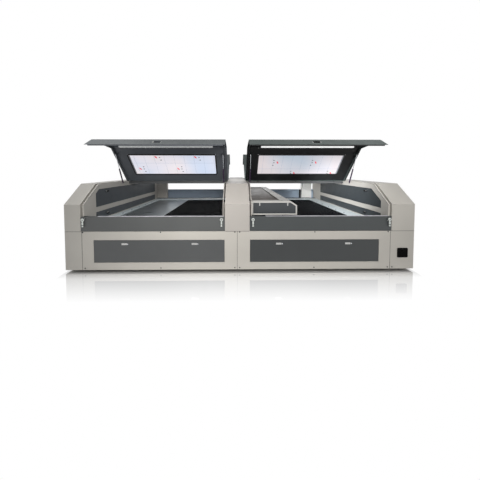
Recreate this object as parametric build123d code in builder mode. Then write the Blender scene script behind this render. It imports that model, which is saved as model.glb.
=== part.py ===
from build123d import *
import os
from math import atan2, cos, degrees, hypot, radians, sin

os.makedirs("parts", exist_ok=True)

# A long closed laser engraving machine: two bays with lids front and rear, a middle
# cover between them and one gantry that travels through both bays.
# X runs along the machine, Y from front to rear, Z up from the floor.

# Body
overall_length = 5000.0
body_depth = 2450.0
deck_height = 1245.0
ground_gap = 30.0
left_end_width = 226.0
right_end_width = 330.0
middle_width = 352.0
slant_run = 277.0
slant_rise = 277.0
casing_height = 662.0
seam_height = deck_height - casing_height
band_rise = 214.0
band_top = seam_height + band_rise
rear_panel_rise = 322.0
rear_panel_top = seam_height + rear_panel_rise
sheet = 3.0
end_overlap = 14.0

# Gutter and lip that the lids close over
gutter_depth = 78.0
gutter_width_end = 26.0
lip_width_end = 18.0
gutter_width_middle = 22.0
lip_width_middle = 10.0
lip_drop = 8.0
band_pocket = 60.0

# Middle cover
post_depth = 125.0
arch_drop = 205.0
arch_height = deck_height - arch_drop

# Hinge beams and lids
front_lid_length = 1040.0
rear_lid_length = 1040.0
hinge_gap = 10.0
hinge_drop = 10.0
hinge_beam_height = 60.0
knuckle_radius = 8.0
knuckle_length = 30.0
hinge_pin_radius = 3.0
hinge_pin_clearance = 0.1
hinge_inset = 250.0
lid_side_gap = 3.0
lid_seat_gap = 4.0
lid_rim = 38.0
lid_rim_return = 8.0
lid_lip_rim = 6.0
lid_rim_notch = 11.0
lid_edge_return = 20.0
front_lid_open = 54.5
rear_lid_open = 37.5
window_margin_end = 257.0
window_margin_middle = 224.0
window_start = 180.0
window_height = 418.0
window_radius = 14.0
window_overlap = 18.0
pane_thickness = 5.0
lamp_width = 40.0
lamp_depth = 22.0
lamp_margin_end = 196.0
lamp_margin_middle = 245.0
lamp_offset = 50.0
pull_width = 136.0
pull_height = 58.0
pull_depth = 28.0

# Gas struts
strut_inset = 72.0
strut_foot_setback = 216.0
strut_foot_drop = 30.0
strut_head_reach = 630.0
strut_head_depth = 45.0
strut_radius = 11.0
strut_rod_radius = 5.0
strut_rod_clearance = 0.1
strut_eye_radius = 10.0
strut_eye_width = 12.0
strut_stud_radius = 4.0
strut_stud_clearance = 0.1
strut_head_gap = 0.5
strut_engagement = 36.0
strut_end_room = 133.0
bracket_thickness = 4.0
bracket_gap = 6.0

# Drop bands and their latches
band_gap = 3.0
band_foot_gap = 4.0
band_top_gap = 2.0
band_return = 45.0
band_foot_return = 25.0
pivot_setback = 8.0
pivot_rise = 8.0
pivot_radius = 4.0
pivot_clearance = 0.1
latch_inset = 48.0
latch_drop = 42.0
latch_plate = 45.0
latch_plate_thickness = 4.0
latch_spindle_radius = 7.0
latch_lever_length = 112.0
latch_lever_width = 24.0
latch_lever_thickness = 13.0
latch_lever_lift = 9.0
latch_cam_length = 45.0
latch_cam_width = 10.0
latch_cam_thickness = 4.0
latch_cam_setback = 13.5
keeper_offset = 25.0
keeper_width = 20.0
keeper_setback = 5.5
keeper_post_setback = 30.0
keeper_tab = 15.0
keeper_shelf = 15.0
keeper_foot = 20.0

# Lower doors and paddle latches
door_bottom = 135.0
door_drop = 122.0
door_top = seam_height - door_drop
door_margin_seam = 182.0
door_margin_end = 163.0
door_gap = 3.0
door_return = 18.0
opening_return = 22.0
door_pivot_setback = 5.0
door_pivot_rise = 5.0
paddle_positions = (605.0, 1602.0)
paddle_drop = 59.0
paddle_cup_width = 100.0
paddle_cup_height = 28.0
paddle_cup_depth = 18.0
paddle_cup_wall = 2.0
paddle_width = 76.0
paddle_thickness = 7.0
paddle_gap = 1.0
paddle_end_gap = 2.5
paddle_pin_radius = 2.0
paddle_pin_clearance = 0.1
paddle_pivot_inset = 6.0
paddle_lock_width = 17.0

# Fan grille in the right end
fan_width = 152.0
fan_height = 138.0
fan_centre_height = 265.0
fan_radius = 14.0
fan_proud = 6.0
fan_louvres = 7
fan_frame = 16.0

# Rear panels and exhaust spigots
exhaust_radius = 100.0
exhaust_wall = 2.0
exhaust_length = 60.0
exhaust_height = (door_bottom + door_top) / 2
access_overlap = 15.0

# Feet
foot_radius = 40.0
foot_pad = 8.0
foot_nut_radius = 16.0
foot_inset = 110.0

# Base halves
flange_width = 60.0
tube_size = 60.0
tube_wall = 4.0
tubes_per_half = 4

# Bed
rail_beam_front = 60.0
rail_beam_width = 180.0
rail_beam_height = 89.0
rail_beam_top = seam_height + rail_beam_height
rail_beam_wall = 5.0
rail_line = 200.0
rail_width = 24.0
rail_height = 22.0
rack_size = 20.0
rack_offset = 34.0
side_clearance = 4.0
bed_gap = 10.0
bed_front = 300.0
bed_rear = 340.0
bed_drop = 12.0
bed_top = rail_beam_top - bed_drop
honeycomb_thickness = 30.0
honeycomb_skin = 5.0
honeycomb_rib = 10.0
honeycomb_bays = (8, 4)
frame_top = 10.0
frame_wall = 6.0
right_ledge = 238.0
left_ledge = 138.0
parking_width = 750.0
plate_divider = 8.0
ledge_seat = 18.0
slat_thickness = 3.0
slat_height = 30.0
slat_pitch = 115.0
slot_width = 113.0
slot_height = 46.0
slot_setback = 500.0

# Side liners
liner_upper = (deck_height - 360.0, deck_height - 88.0)
liner_lower = (seam_height + 103.0, seam_height + 223.0)
liner_thickness = 3.0
left_liner_front = 225.0
left_liner_rear = 310.0
left_liner_corner = (60.0, 60.0)
right_liner_front = 137.0
right_liner_rear = 474.0
right_liner_corner = (187.0, 163.0)

# Rear corners
corner_setback = 50.0
corner_depth = 70.0
corner_cover_width = 254.0
corner_cover_drop = 116.0
corner_cover_top = deck_height - corner_cover_drop
corner_radius = 42.0
housing_width = 271.0
housing_drop = 137.0
housing_top = deck_height - housing_drop
housing_wall_gap = 84.0
hose_radius = 28.0
hose_groove = 6.0
hose_pitch = 30.0
hose_rings = 8
hose_offset = 34.0

# Gantry
gantry_offset = 222.0
gantry_width = 684.0
gantry_end_gap = 18.0
gantry_lift = 109.0
gantry_bottom = rail_beam_top + gantry_lift
gantry_arch_gap = 55.0
gantry_top = arch_height - gantry_arch_gap
gantry_chamfer_width = 91.0
gantry_chamfer_drop = 60.0
gantry_border = 20.0
gantry_end_recess = 4.0
top_cover_left = 18.0
top_cover_width = 430.0
top_cover_front = 123.0
top_cover_depth = 14.0
top_cover_lap = 12.0
slot_line = 522.0
cover_slots = (0.1585, 0.5277, 0.9057)
cover_slot_width = 22.0
cover_slot_length = 60.0
beam_width = 240.0
beam_wall = 6.0
beam_lift = 128.0
beam_bottom = rail_beam_top + beam_lift
beam_head_room = 75.0
beam_height = gantry_top - beam_head_room - beam_bottom
bulkhead_thickness = 4.0
bulkhead_margin = 100.0
truck_width = 66.0
truck_length = 90.0
truck_spread = 420.0
truck_clearance = 0.5
truck_wall = 14.0
truck_plate = 14.0
head_rail_width = 20.0
head_rail_height = 16.0
head_rail_spread = 120.0
head_rail_margin = 180.0
head_clearance = 0.4
head_width = 190.0
head_length = 150.0
head_plate = 30.0
nozzle_gap = 12.0
nozzle_tip = bed_top + nozzle_gap
nozzle_radius = 22.0

# Positions worked out from the sizes above
left_x = -overall_length / 2
right_x = overall_length / 2
bay_width = (overall_length - left_end_width - right_end_width - middle_width) / 2
left_bay = (left_x + left_end_width, left_x + left_end_width + bay_width)
right_bay = (left_bay[1] + middle_width, right_x - right_end_width)
seam_x = (left_bay[1] + right_bay[0]) / 2
latch_proud = latch_plate_thickness + latch_lever_lift + latch_lever_thickness
front_y = -(body_depth + latch_proud + exhaust_length) / 2 + latch_proud
rear_y = front_y + body_depth
front_hinge_y = front_y + front_lid_length
rear_hinge_y = rear_y - rear_lid_length
hinge_z = deck_height - hinge_drop
shoulder_height = deck_height - slant_rise
end_wall = gutter_width_end + lip_width_end
middle_wall = gutter_width_middle + lip_width_middle
left_wall = left_bay[0] + end_wall
right_wall = right_bay[1] - end_wall
gantry_x = seam_x + gantry_offset
gantry_front = front_y + post_depth + gantry_end_gap
gantry_rear = rear_y - post_depth - gantry_end_gap
bays = {"left": left_bay, "right": right_bay}


def block(x, y, z, mode=Mode.ADD):
    """A plain block between three pairs of limits."""
    x, y, z = sorted(x), sorted(y), sorted(z)
    with Locations(((x[0] + x[1]) / 2, (y[0] + y[1]) / 2, (z[0] + z[1]) / 2)):
        Box(x[1] - x[0], y[1] - y[0], z[1] - z[0], mode=mode)


def side_slab(points, x, mode=Mode.ADD, spare=None):
    """A slab across X with its outline given in Y and Z, less a spare rectangle."""
    x = sorted(x)
    with BuildSketch(Plane.YZ.offset(x[0])) as outline:
        Polygon(*points, align=None)
        if spare:
            (y_low, y_high), (z_low, z_high) = spare
            with Locations(((y_low + y_high) / 2, (z_low + z_high) / 2)):
                Rectangle(y_high - y_low, z_high - z_low, mode=Mode.SUBTRACT)
    extrude(outline.sketch, amount=x[1] - x[0], mode=mode)


def cross_pin(x, y, z, radius, mode=Mode.ADD):
    """A round pin or bore along X."""
    x = sorted(x)
    with BuildSketch(Plane.YZ.offset(x[0])) as disc:
        with Locations((y, z)):
            Circle(radius)
    extrude(disc.sketch, amount=x[1] - x[0], mode=mode)


def body_outline(inset, floor):
    """The closed machine seen from the side, moved inwards by inset, from floor up."""
    slope = hypot(slant_run, slant_rise)
    low = shoulder_height + inset * (slant_rise - slope) / slant_run
    bend = front_y + slant_run + inset * (slope - slant_run) / slant_rise
    return [
        (front_y + inset, floor),
        (front_y + inset, low),
        (bend, deck_height - inset),
        (rear_y - inset, deck_height - inset),
        (rear_y - inset, floor),
    ]


def lid_outline(place, inset):
    """A closed lid in its own plane: distance from the hinge, then depth below it."""
    slope = hypot(slant_run, slant_rise)
    top = inset - hinge_drop
    if place == "front":
        bend = front_lid_length - slant_run - inset * (slope - slant_run) / slant_rise
        shoulder = hinge_z - shoulder_height - inset * (slant_rise - slope) / slant_run
        reach = front_lid_length - inset
        foot = hinge_z - band_top - lid_seat_gap
        return [(hinge_gap, top), (bend, top), (reach, shoulder), (reach, foot)]
    reach = rear_lid_length - inset
    foot = hinge_z - rear_panel_top - lid_seat_gap
    return [(hinge_gap, top), (reach, top), (reach, foot)]


def lid_plane(place, x):
    """Section plane of an open lid at x: its x runs out from the hinge, its y inwards."""
    angle = radians(front_lid_open if place == "front" else rear_lid_open)
    if place == "front":
        return Plane((x, front_hinge_y, hinge_z), x_dir=(0, -cos(angle), sin(angle)), z_dir=(1, 0, 0))
    return Plane((x, rear_hinge_y, hinge_z), x_dir=(0, cos(angle), sin(angle)), z_dir=(-1, 0, 0))


def lid_slab(place, points, x, mode=Mode.ADD):
    """A slab across an open lid between two X limits, its outline in the lid's plane."""
    low, high = sorted(x)
    start = low if place == "front" else high
    with BuildSketch(lid_plane(place, start)) as outline:
        Polygon(*points, align=None)
    extrude(outline.sketch, amount=high - low, mode=mode)


def lid_disc(place, centre, radius, x, mode=Mode.ADD):
    """A round pin or bore along X at a point of the lid's plane."""
    low, high = sorted(x)
    start = low if place == "front" else high
    with BuildSketch(lid_plane(place, start)) as disc:
        with Locations(centre):
            Circle(radius)
    extrude(disc.sketch, amount=high - low, mode=mode)


def lid_face(place, depth):
    """The plane of the lid's flat part at a depth below the hinge axis."""
    angle = radians(front_lid_open if place == "front" else rear_lid_open)
    run = -cos(angle) if place == "front" else cos(angle)
    lean = -sin(angle) if place == "front" else sin(angle)
    hinge_y = front_hinge_y if place == "front" else rear_hinge_y
    inward = Vector(0, lean, -cos(angle))
    origin = Vector(0, hinge_y, hinge_z) + inward * depth
    along = Vector(1, 0, 0)
    normal = along.cross(Vector(0, run, sin(angle)))
    return Plane(origin, x_dir=along, z_dir=normal), 1 if normal.dot(inward) > 0 else -1


def band_between(outer, inner):
    """The outline between two parallel open outlines."""
    return outer + inner[::-1]


def pair_spans(place_bay):
    """Both sides of a bay: its edge, the direction into the bay, wall and gutter widths."""
    low, high = bays[place_bay]
    if place_bay == "left":
        return [(low, 1, end_wall, gutter_width_end), (high, -1, middle_wall, gutter_width_middle)]
    return [(low, 1, middle_wall, gutter_width_middle), (high, -1, end_wall, gutter_width_end)]


def hinge_centres(bay):
    """X positions of a lid's three hinges."""
    low, high = bays[bay]
    return [low + hinge_inset, (low + high) / 2, high - hinge_inset]


def seat_for_lids(edge, inward, wall, gutter):
    """Gutter, lip and inner wall along one side of a bay, in the current part."""
    lip = edge + inward * gutter
    face = edge + inward * wall
    side_slab(body_outline(gutter_depth, seam_height), (edge, lip))
    side_slab(body_outline(lip_drop, seam_height), (lip, face))


def hollow_seat(edge, inward, wall, gutter, arch=None):
    """The space inside the gutter and lip, open downwards."""
    lip = edge + inward * gutter
    face = edge + inward * wall
    floor = seam_height - 1
    inner = body_outline(gutter_depth + sheet, floor)
    side_slab(inner, (edge - inward * sheet, face - inward * sheet), Mode.SUBTRACT, arch)
    if abs(face - lip) > 3 * sheet:
        inside_lip = body_outline(lip_drop + sheet, floor)
        side_slab(inside_lip, (lip + inward * sheet, face - inward * sheet), Mode.SUBTRACT, arch)


def trim_seat(edge, inward, wall):
    """Pockets for the drop band, the rear panel and the hinge beam, and the pin bore."""
    zone = (edge, edge + inward * (wall + 1))
    low = seam_height - 1
    block(zone, (front_y - 1, front_y + band_pocket), (low, band_top + band_gap), Mode.SUBTRACT)
    block(zone, (rear_y - band_pocket, rear_y + 1), (low, rear_panel_top + band_gap), Mode.SUBTRACT)
    beam = (front_hinge_y + hinge_gap, rear_hinge_y - hinge_gap)
    block(zone, beam, (deck_height - hinge_beam_height, deck_height + 1), Mode.SUBTRACT)
    bore = pivot_radius + pivot_clearance
    through = (edge - inward * (sheet + 1), edge + inward)
    cross_pin(through, front_y + pivot_setback, band_pivot_z, bore, Mode.SUBTRACT)


def strut_studs(edge, inward, wall):
    """Studs that carry the feet of the front and the rear strut on one inner wall."""
    reach = strut_inset + strut_eye_width / 2 + 2
    span = (edge + inward * (wall - 1), edge + inward * reach)
    for y in (front_foot_y, rear_foot_y):
        cross_pin(span, y, strut_foot_z, strut_stud_radius)


band_bottom = seam_height + band_foot_gap
band_pivot_z = band_bottom + pivot_rise
front_foot_y = front_hinge_y - strut_foot_setback
rear_foot_y = rear_hinge_y + strut_foot_setback
strut_foot_z = deck_height - strut_foot_drop
latch_z = band_top - latch_drop

# End casings
for side, outer, edge, inward in (("left", left_x, left_bay[0], 1), ("right", right_x, right_bay[1], -1)):
    with BuildPart() as end_cover:
        side_slab(body_outline(0, seam_height), (outer, edge))
        seat_for_lids(edge, inward, end_wall, gutter_width_end)
        casing = (outer + inward * sheet, edge - inward * sheet)
        side_slab(body_outline(sheet, seam_height - 1), casing, Mode.SUBTRACT)
        hollow_seat(edge, inward, end_wall, gutter_width_end)
        trim_seat(edge, inward, end_wall)
        strut_studs(edge, inward, end_wall)
    end_cover.part.label = f"{side}_end_cover"
    export_step(end_cover.part, f"parts/{side}_end_cover.step")

# Middle cover, an arch that the gantry passes under
arch_y = (front_y + post_depth, rear_y - post_depth)
arch_sheet = ((arch_y[0] - sheet, arch_y[1] + sheet), (seam_height - 2, arch_height + sheet))
with BuildPart() as middle_cover:
    side_slab(body_outline(0, seam_height), (left_bay[1], right_bay[0]))
    seat_for_lids(left_bay[1], -1, middle_wall, gutter_width_middle)
    seat_for_lids(right_bay[0], 1, middle_wall, gutter_width_middle)
    whole = (left_bay[1] - middle_wall - 1, right_bay[0] + middle_wall + 1)
    block(whole, arch_y, (seam_height - 1, arch_height), Mode.SUBTRACT)
    casing = (left_bay[1] + sheet, right_bay[0] - sheet)
    side_slab(body_outline(sheet, seam_height - 1), casing, Mode.SUBTRACT, arch_sheet)
    hollow_seat(left_bay[1], -1, middle_wall, gutter_width_middle, arch_sheet)
    hollow_seat(right_bay[0], 1, middle_wall, gutter_width_middle, arch_sheet)
    trim_seat(left_bay[1], -1, middle_wall)
    trim_seat(right_bay[0], 1, middle_wall)
    beam_zone = rail_beam_front - side_clearance
    through = (seam_height - 1, rail_beam_top + side_clearance)
    block(whole, (front_y + beam_zone, arch_y[0] + 1), through, Mode.SUBTRACT)
    block(whole, (arch_y[1] - 1, rear_y - beam_zone), through, Mode.SUBTRACT)
    strut_studs(left_bay[1], -1, middle_wall)
    strut_studs(right_bay[0], 1, middle_wall)
middle_cover.part.label = "middle_cover"
export_step(middle_cover.part, "parts/middle_cover.step")

# End bases under the casings
base_height = (ground_gap, seam_height)
left_base_x = (left_x, left_bay[0] + end_overlap)
right_base_x = (right_bay[1] - end_overlap, right_x)
fan_x = (right_bay[1] + right_x) / 2
body_y = (front_y, rear_y)
inside_y = (front_y + sheet, rear_y - sheet)
with BuildPart() as left_end_base:
    block(left_base_x, body_y, base_height)
    hollow = (left_base_x[0] + sheet, left_base_x[1] - sheet)
    block(hollow, inside_y, (ground_gap + sheet, seam_height + 1), Mode.SUBTRACT)
left_end_base.part.label = "left_end_base"
export_step(left_end_base.part, "parts/left_end_base.step")

with BuildPart() as right_end_base:
    block(right_base_x, body_y, base_height)
    hollow = (right_base_x[0] + sheet, right_base_x[1] - sheet)
    block(hollow, inside_y, (ground_gap + sheet, seam_height + 1), Mode.SUBTRACT)
    fan_hole = (fan_width / 2 - fan_frame, fan_height / 2 - fan_frame)
    block(
        (fan_x - fan_hole[0], fan_x + fan_hole[0]),
        (front_y - 1, front_y + sheet + 1),
        (fan_centre_height - fan_hole[1], fan_centre_height + fan_hole[1]),
        Mode.SUBTRACT,
    )
right_end_base.part.label = "right_end_base"
export_step(right_end_base.part, "parts/right_end_base.step")

# Fan grille: a moulded frame with sloping louvres
louvre_space = (fan_height - 2 * fan_frame) / fan_louvres
with BuildPart() as fan_grille:
    fan_plane = Plane((fan_x, front_y, fan_centre_height), x_dir=(1, 0, 0), z_dir=(0, -1, 0))
    with BuildSketch(fan_plane):
        RectangleRounded(fan_width, fan_height, fan_radius)
        Rectangle(fan_width - 2 * fan_frame, fan_height - 2 * fan_frame, mode=Mode.SUBTRACT)
    extrude(amount=fan_proud)
    for number in range(fan_louvres):
        z = fan_centre_height - fan_height / 2 + fan_frame + number * louvre_space
        slope = [
            (front_y, z + louvre_space * 0.8),
            (front_y - 2, z + louvre_space * 0.8),
            (front_y - fan_proud, z),
            (front_y - fan_proud + 2, z),
        ]
        side_slab(slope, (fan_x - fan_width / 2 + fan_frame, fan_x + fan_width / 2 - fan_frame))
fan_grille.part.label = "fan_grille"
export_step(fan_grille.part, "parts/fan_grille.step")


def door_span(bay):
    """X limits of the lower door's opening under one bay."""
    if bay == "left":
        return (left_bay[0] + door_margin_end + end_overlap, seam_x - door_margin_seam)
    return (seam_x + door_margin_seam, right_bay[1] - door_margin_end - end_overlap)


def latch_centres(bay):
    """X of a band's two latches, each with the direction towards the bay's middle."""
    low, high = bays[bay]
    return [(low + latch_inset, 1), (high - latch_inset, -1)]


# Base halves: folded boxes with door openings and cross tubes
base_spans = {"left": (left_base_x[1], seam_x), "right": (seam_x, right_base_x[0])}
door_pivot_z = door_bottom + door_gap + 1 + door_pivot_rise
for bay, span in base_spans.items():
    opening = door_span(bay)
    with BuildPart() as base_half:
        block(span, body_y, base_height)
        hollow = (span[0] + sheet, span[1] - sheet)
        block(hollow, inside_y, (ground_gap + sheet, seam_height + 1), Mode.SUBTRACT)
        flange_z = (seam_height - sheet, seam_height)
        block(span, (front_y, front_y + flange_width), flange_z)
        block(span, (rear_y - flange_width, rear_y), flange_z)
        door_z = (door_bottom, door_top)
        grown_x = (opening[0] - sheet, opening[1] + sheet)
        grown_z = (door_bottom - sheet, door_top + sheet)
        block(grown_x, (front_y, front_y + opening_return), grown_z)
        block(opening, (front_y - 1, front_y + opening_return + 1), door_z, Mode.SUBTRACT)
        block(opening, (rear_y - sheet - 1, rear_y + 1), door_z, Mode.SUBTRACT)
        for edge, way in ((opening[0], -1), (opening[1], 1)):
            bore = pivot_radius + pivot_clearance
            through = (edge - way, edge + way * (sheet + 1))
            cross_pin(through, front_y + door_pivot_setback, door_pivot_z, bore, Mode.SUBTRACT)
        step = (span[1] - span[0]) / tubes_per_half
        for number in range(tubes_per_half):
            x = span[0] + (number + 0.5) * step
            tube = (x - tube_size / 2, x + tube_size / 2)
            channel = (tube[0] + tube_wall, tube[1] - tube_wall)
            block(tube, inside_y, (seam_height - tube_size, seam_height))
            below = (seam_height - tube_size - 1, seam_height - tube_wall)
            block(channel, (front_y + 2 * sheet, rear_y - 2 * sheet), below, Mode.SUBTRACT)
    base_half.part.label = f"base_{bay}"
    export_step(base_half.part, f"parts/base_{bay}.step")

# Band keepers: bent brackets bolted on the front flange, one beside each latch
with BuildPart() as band_keepers:
    tab_y = (front_y + keeper_setback, front_y + keeper_setback + sheet)
    post_y = (front_y + keeper_post_setback, front_y + keeper_post_setback + sheet)
    shelf_z = (latch_z + keeper_shelf, latch_z + keeper_shelf + sheet)
    for bay in bays:
        for x, way in latch_centres(bay):
            keeper_x = (x + way * keeper_offset, x + way * (keeper_offset + keeper_width))
            block(keeper_x, post_y, (seam_height, shelf_z[1]))
            block(keeper_x, (post_y[0], post_y[0] + keeper_foot), (seam_height, seam_height + sheet))
            block(keeper_x, (tab_y[0], post_y[1]), shelf_z)
            block(keeper_x, tab_y, (latch_z - keeper_tab, shelf_z[1]))
band_keepers.part.label = "band_keepers"
export_step(band_keepers.part, "parts/band_keepers.step")

# Levelling feet, alike
with BuildPart() as levelling_feet:
    foot_lines = [left_x + foot_inset, (left_x + seam_x) / 2, seam_x - foot_inset]
    foot_lines += [seam_x + foot_inset, (seam_x + right_x) / 2, right_x - foot_inset]
    foot_places = [(x, y) for x in foot_lines for y in (front_y + foot_inset, rear_y - foot_inset)]
    with BuildSketch() as pads:
        with Locations(*foot_places):
            Circle(foot_radius)
    extrude(pads.sketch, amount=foot_pad)
    with BuildSketch(Plane.XY.offset(foot_pad)) as nuts:
        with Locations(*foot_places):
            RegularPolygon(foot_nut_radius, 6)
    extrude(nuts.sketch, amount=ground_gap - foot_pad)
levelling_feet.part.label = "levelling_feet"
export_step(levelling_feet.part, "parts/levelling_feet.step")

# Rear panels: dark upper panels under the rear lids, lower access panels with spigots
with BuildPart() as rear_upper_panels:
    for low, high in bays.values():
        span = (low + band_gap, high - band_gap)
        block(span, (rear_y - opening_return, rear_y), (seam_height, rear_panel_top))
        core = (seam_height + sheet, rear_panel_top - sheet)
        inner = (span[0] + sheet, span[1] - sheet)
        block(inner, (rear_y - opening_return - 1, rear_y - sheet), core, Mode.SUBTRACT)
rear_upper_panels.part.label = "rear_upper_panels"
export_step(rear_upper_panels.part, "parts/rear_upper_panels.step")

with BuildPart() as rear_lower_panels:
    for bay in bays:
        low, high = door_span(bay)
        middle = (low + high) / 2
        span = (low - access_overlap, high + access_overlap)
        block(span, (rear_y, rear_y + sheet), (door_bottom - access_overlap, door_top + access_overlap))
        with BuildSketch(Plane((middle, rear_y, exhaust_height), x_dir=(-1, 0, 0), z_dir=(0, 1, 0))) as ring:
            Circle(exhaust_radius)
        extrude(ring.sketch, amount=exhaust_length)
        with BuildSketch(Plane((middle, rear_y - 1, exhaust_height), x_dir=(-1, 0, 0), z_dir=(0, 1, 0))) as hole:
            Circle(exhaust_radius - exhaust_wall)
        extrude(hole.sketch, amount=exhaust_length + 2, mode=Mode.SUBTRACT)
rear_lower_panels.part.label = "rear_lower_panels"
export_step(rear_lower_panels.part, "parts/rear_lower_panels.step")

# Side liners
for side, face, inward in (("left", left_wall, 1), ("right", right_wall, -1)):
    with BuildPart() as liners:
        span = (face, face + inward * liner_thickness)
        y_low = front_y + (left_liner_front if side == "left" else right_liner_front)
        y_high = rear_y - (left_liner_rear if side == "left" else right_liner_rear)
        corner = left_liner_corner if side == "left" else right_liner_corner
        upper = [
            (y_low, liner_upper[0]),
            (y_low, liner_upper[1] - corner[1]),
            (y_low + corner[0], liner_upper[1]),
            (y_high, liner_upper[1]),
            (y_high, liner_upper[0]),
        ]
        side_slab(upper, span)
        block(span, (y_low, y_high), liner_lower)
    liners.part.label = f"{side}_liners"
    export_step(liners.part, f"parts/{side}_liners.step")

# Hinge beams with the fixed knuckles and pins
for bay, span in bays.items():
    with BuildPart() as hinge_beam:
        beam_y = (front_hinge_y + hinge_gap, rear_hinge_y - hinge_gap)
        beam_z = (deck_height - hinge_beam_height, deck_height)
        block(span, beam_y, beam_z)
        inner_y = (beam_y[0] + sheet, beam_y[1] - sheet)
        block((span[0] - 1, span[1] + 1), inner_y, (beam_z[0] - 1, beam_z[1] - sheet), Mode.SUBTRACT)
        for y, way in ((front_hinge_y, 1), (rear_hinge_y, -1)):
            for x in hinge_centres(bay):
                for start in (-1.5 * knuckle_length, 0.5 * knuckle_length):
                    place = (x + start, x + start + knuckle_length)
                    cross_pin(place, y, hinge_z, knuckle_radius)
                    leaf_z = (hinge_z + knuckle_radius - sheet, hinge_z + knuckle_radius)
                    block(place, (y, y + way * (hinge_gap + sheet)), leaf_z)
                cross_pin((x - knuckle_length, x + knuckle_length), y, hinge_z, hinge_pin_radius)
    hinge_beam.part.label = f"{bay}_hinge_beam"
    export_step(hinge_beam.part, f"parts/{bay}_hinge_beam.step")


def side_margins(bay, at_end, at_middle):
    """X limits of a bay less one margin at the machine's end and one at its middle."""
    low, high = bays[bay]
    if bay == "left":
        return (low + at_end, high - at_middle)
    return (low + at_middle, high - at_end)


def build_lid_shell(place, bay):
    """A folded sheet lid with rims, returns, window opening, knuckles and brackets."""
    low, high = bays[bay]
    span = (low + lid_side_gap, high - lid_side_gap)
    skin = band_between(lid_outline(place, 0), lid_outline(place, sheet))
    reach, foot = lid_outline(place, 0)[-1]
    rim_edge = lid_outline(place, lid_rim)[:-1]
    rim = lid_outline(place, 0) + [(reach - lid_lip_rim, foot)] + rim_edge[::-1]
    lap = band_between(lid_outline(place, lid_rim - sheet)[:-1], rim_edge)
    walls = [wall for _, _, wall, _ in pair_spans(bay)]
    inside = (low + walls[0] + lid_seat_gap, high - walls[1] - lid_seat_gap)
    stud_depth = strut_foot_drop - hinge_drop
    notch_top = stud_depth - lid_rim_notch
    notch = [(strut_foot_setback - lid_rim_notch, notch_top), (strut_foot_setback + lid_rim_notch, notch_top)]
    notch += [(strut_foot_setback + lid_rim_notch, lid_rim), (strut_foot_setback - lid_rim_notch, lid_rim)]
    with BuildPart() as shell:
        lid_slab(place, skin, span)
        for edge, inward in ((inside[0], 1), (inside[1], -1)):
            lid_slab(place, rim, (edge, edge + inward * sheet))
            lid_slab(place, lap, (edge, edge + inward * lid_rim_return))
            across = (edge - inward, edge + inward * (lid_rim_return + 1))
            lid_slab(place, notch, across, Mode.SUBTRACT)
        top = -hinge_drop
        near = [(hinge_gap, top), (hinge_gap + sheet, top)]
        near += [(hinge_gap + sheet, top + lid_edge_return), (hinge_gap, top + lid_edge_return)]
        lid_slab(place, near, inside)
        far = [(reach, foot), (reach - lid_edge_return, foot)]
        far += [(reach - lid_edge_return, foot - sheet), (reach, foot - sheet)]
        lid_slab(place, far, inside)
        face, sense = lid_face(place, top - 1)
        view = side_margins(bay, window_margin_end, window_margin_middle)
        with BuildSketch(face) as opening:
            with Locations(((view[0] + view[1]) / 2, window_start + window_height / 2)):
                RectangleRounded(view[1] - view[0], window_height, window_radius)
        extrude(opening.sketch, amount=sense * (sheet + 2), mode=Mode.SUBTRACT)
        if place == "front":
            middle = (low + high) / 2
            centre = (lid_outline(place, 0)[2][1] + foot) / 2
            cup = [(reach - 1, centre - pull_height / 2 - sheet), (reach - pull_depth, centre - pull_height / 2 - sheet)]
            cup += [(reach - pull_depth, centre + pull_height / 2 + sheet), (reach - 1, centre + pull_height / 2 + sheet)]
            lid_slab(place, cup, (middle - pull_width / 2 - sheet, middle + pull_width / 2 + sheet))
            bowl = [(reach + 1, centre - pull_height / 2), (reach - pull_depth + sheet, centre - pull_height / 2)]
            bowl += [(reach - pull_depth + sheet, centre + pull_height / 2), (reach + 1, centre + pull_height / 2)]
            lid_slab(place, bowl, (middle - pull_width / 2, middle + pull_width / 2), Mode.SUBTRACT)
        for x in hinge_centres(bay):
            half = knuckle_length / 2 - 0.5
            spot = (x - half, x + half)
            lid_disc(place, (0, 0), knuckle_radius, spot)
            leaf = [(0, -knuckle_radius), (4 * hinge_gap, -knuckle_radius)]
            leaf += [(4 * hinge_gap, sheet - knuckle_radius), (0, sheet - knuckle_radius)]
            lid_slab(place, leaf, spot)
            lid_disc(place, (0, 0), hinge_pin_radius + hinge_pin_clearance, (x - half - 1, x + half + 1), Mode.SUBTRACT)
        for edge, inward in ((low, 1), (high, -1)):
            centre = edge + inward * strut_inset
            near = centre + inward * (strut_eye_width / 2 + bracket_gap)
            plate = (near, near + inward * bracket_thickness)
            ear = [(strut_head_reach - 2 * strut_eye_radius, top + 1), (strut_head_reach + 2 * strut_eye_radius, top + 1)]
            ear += [(strut_head_reach + strut_eye_radius, strut_head_depth + strut_eye_radius)]
            ear += [(strut_head_reach - strut_eye_radius, strut_head_depth + strut_eye_radius)]
            lid_slab(place, ear, plate)
            stud = (centre + inward * (strut_eye_width / 2 + strut_head_gap), near + inward)
            lid_disc(place, (strut_head_reach, strut_head_depth), strut_stud_radius, stud)
    return shell


def build_window(place, bay):
    """The clear pane behind a lid's window opening."""
    low, high = side_margins(bay, window_margin_end, window_margin_middle)
    face, sense = lid_face(place, sheet - hinge_drop)
    with BuildPart() as pane:
        with BuildSketch(face):
            with Locations(((low + high) / 2, window_start + window_height / 2)):
                RectangleRounded(
                    high - low + 2 * window_overlap,
                    window_height + 2 * window_overlap,
                    window_radius,
                )
        extrude(amount=sense * pane_thickness)
    return pane


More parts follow.
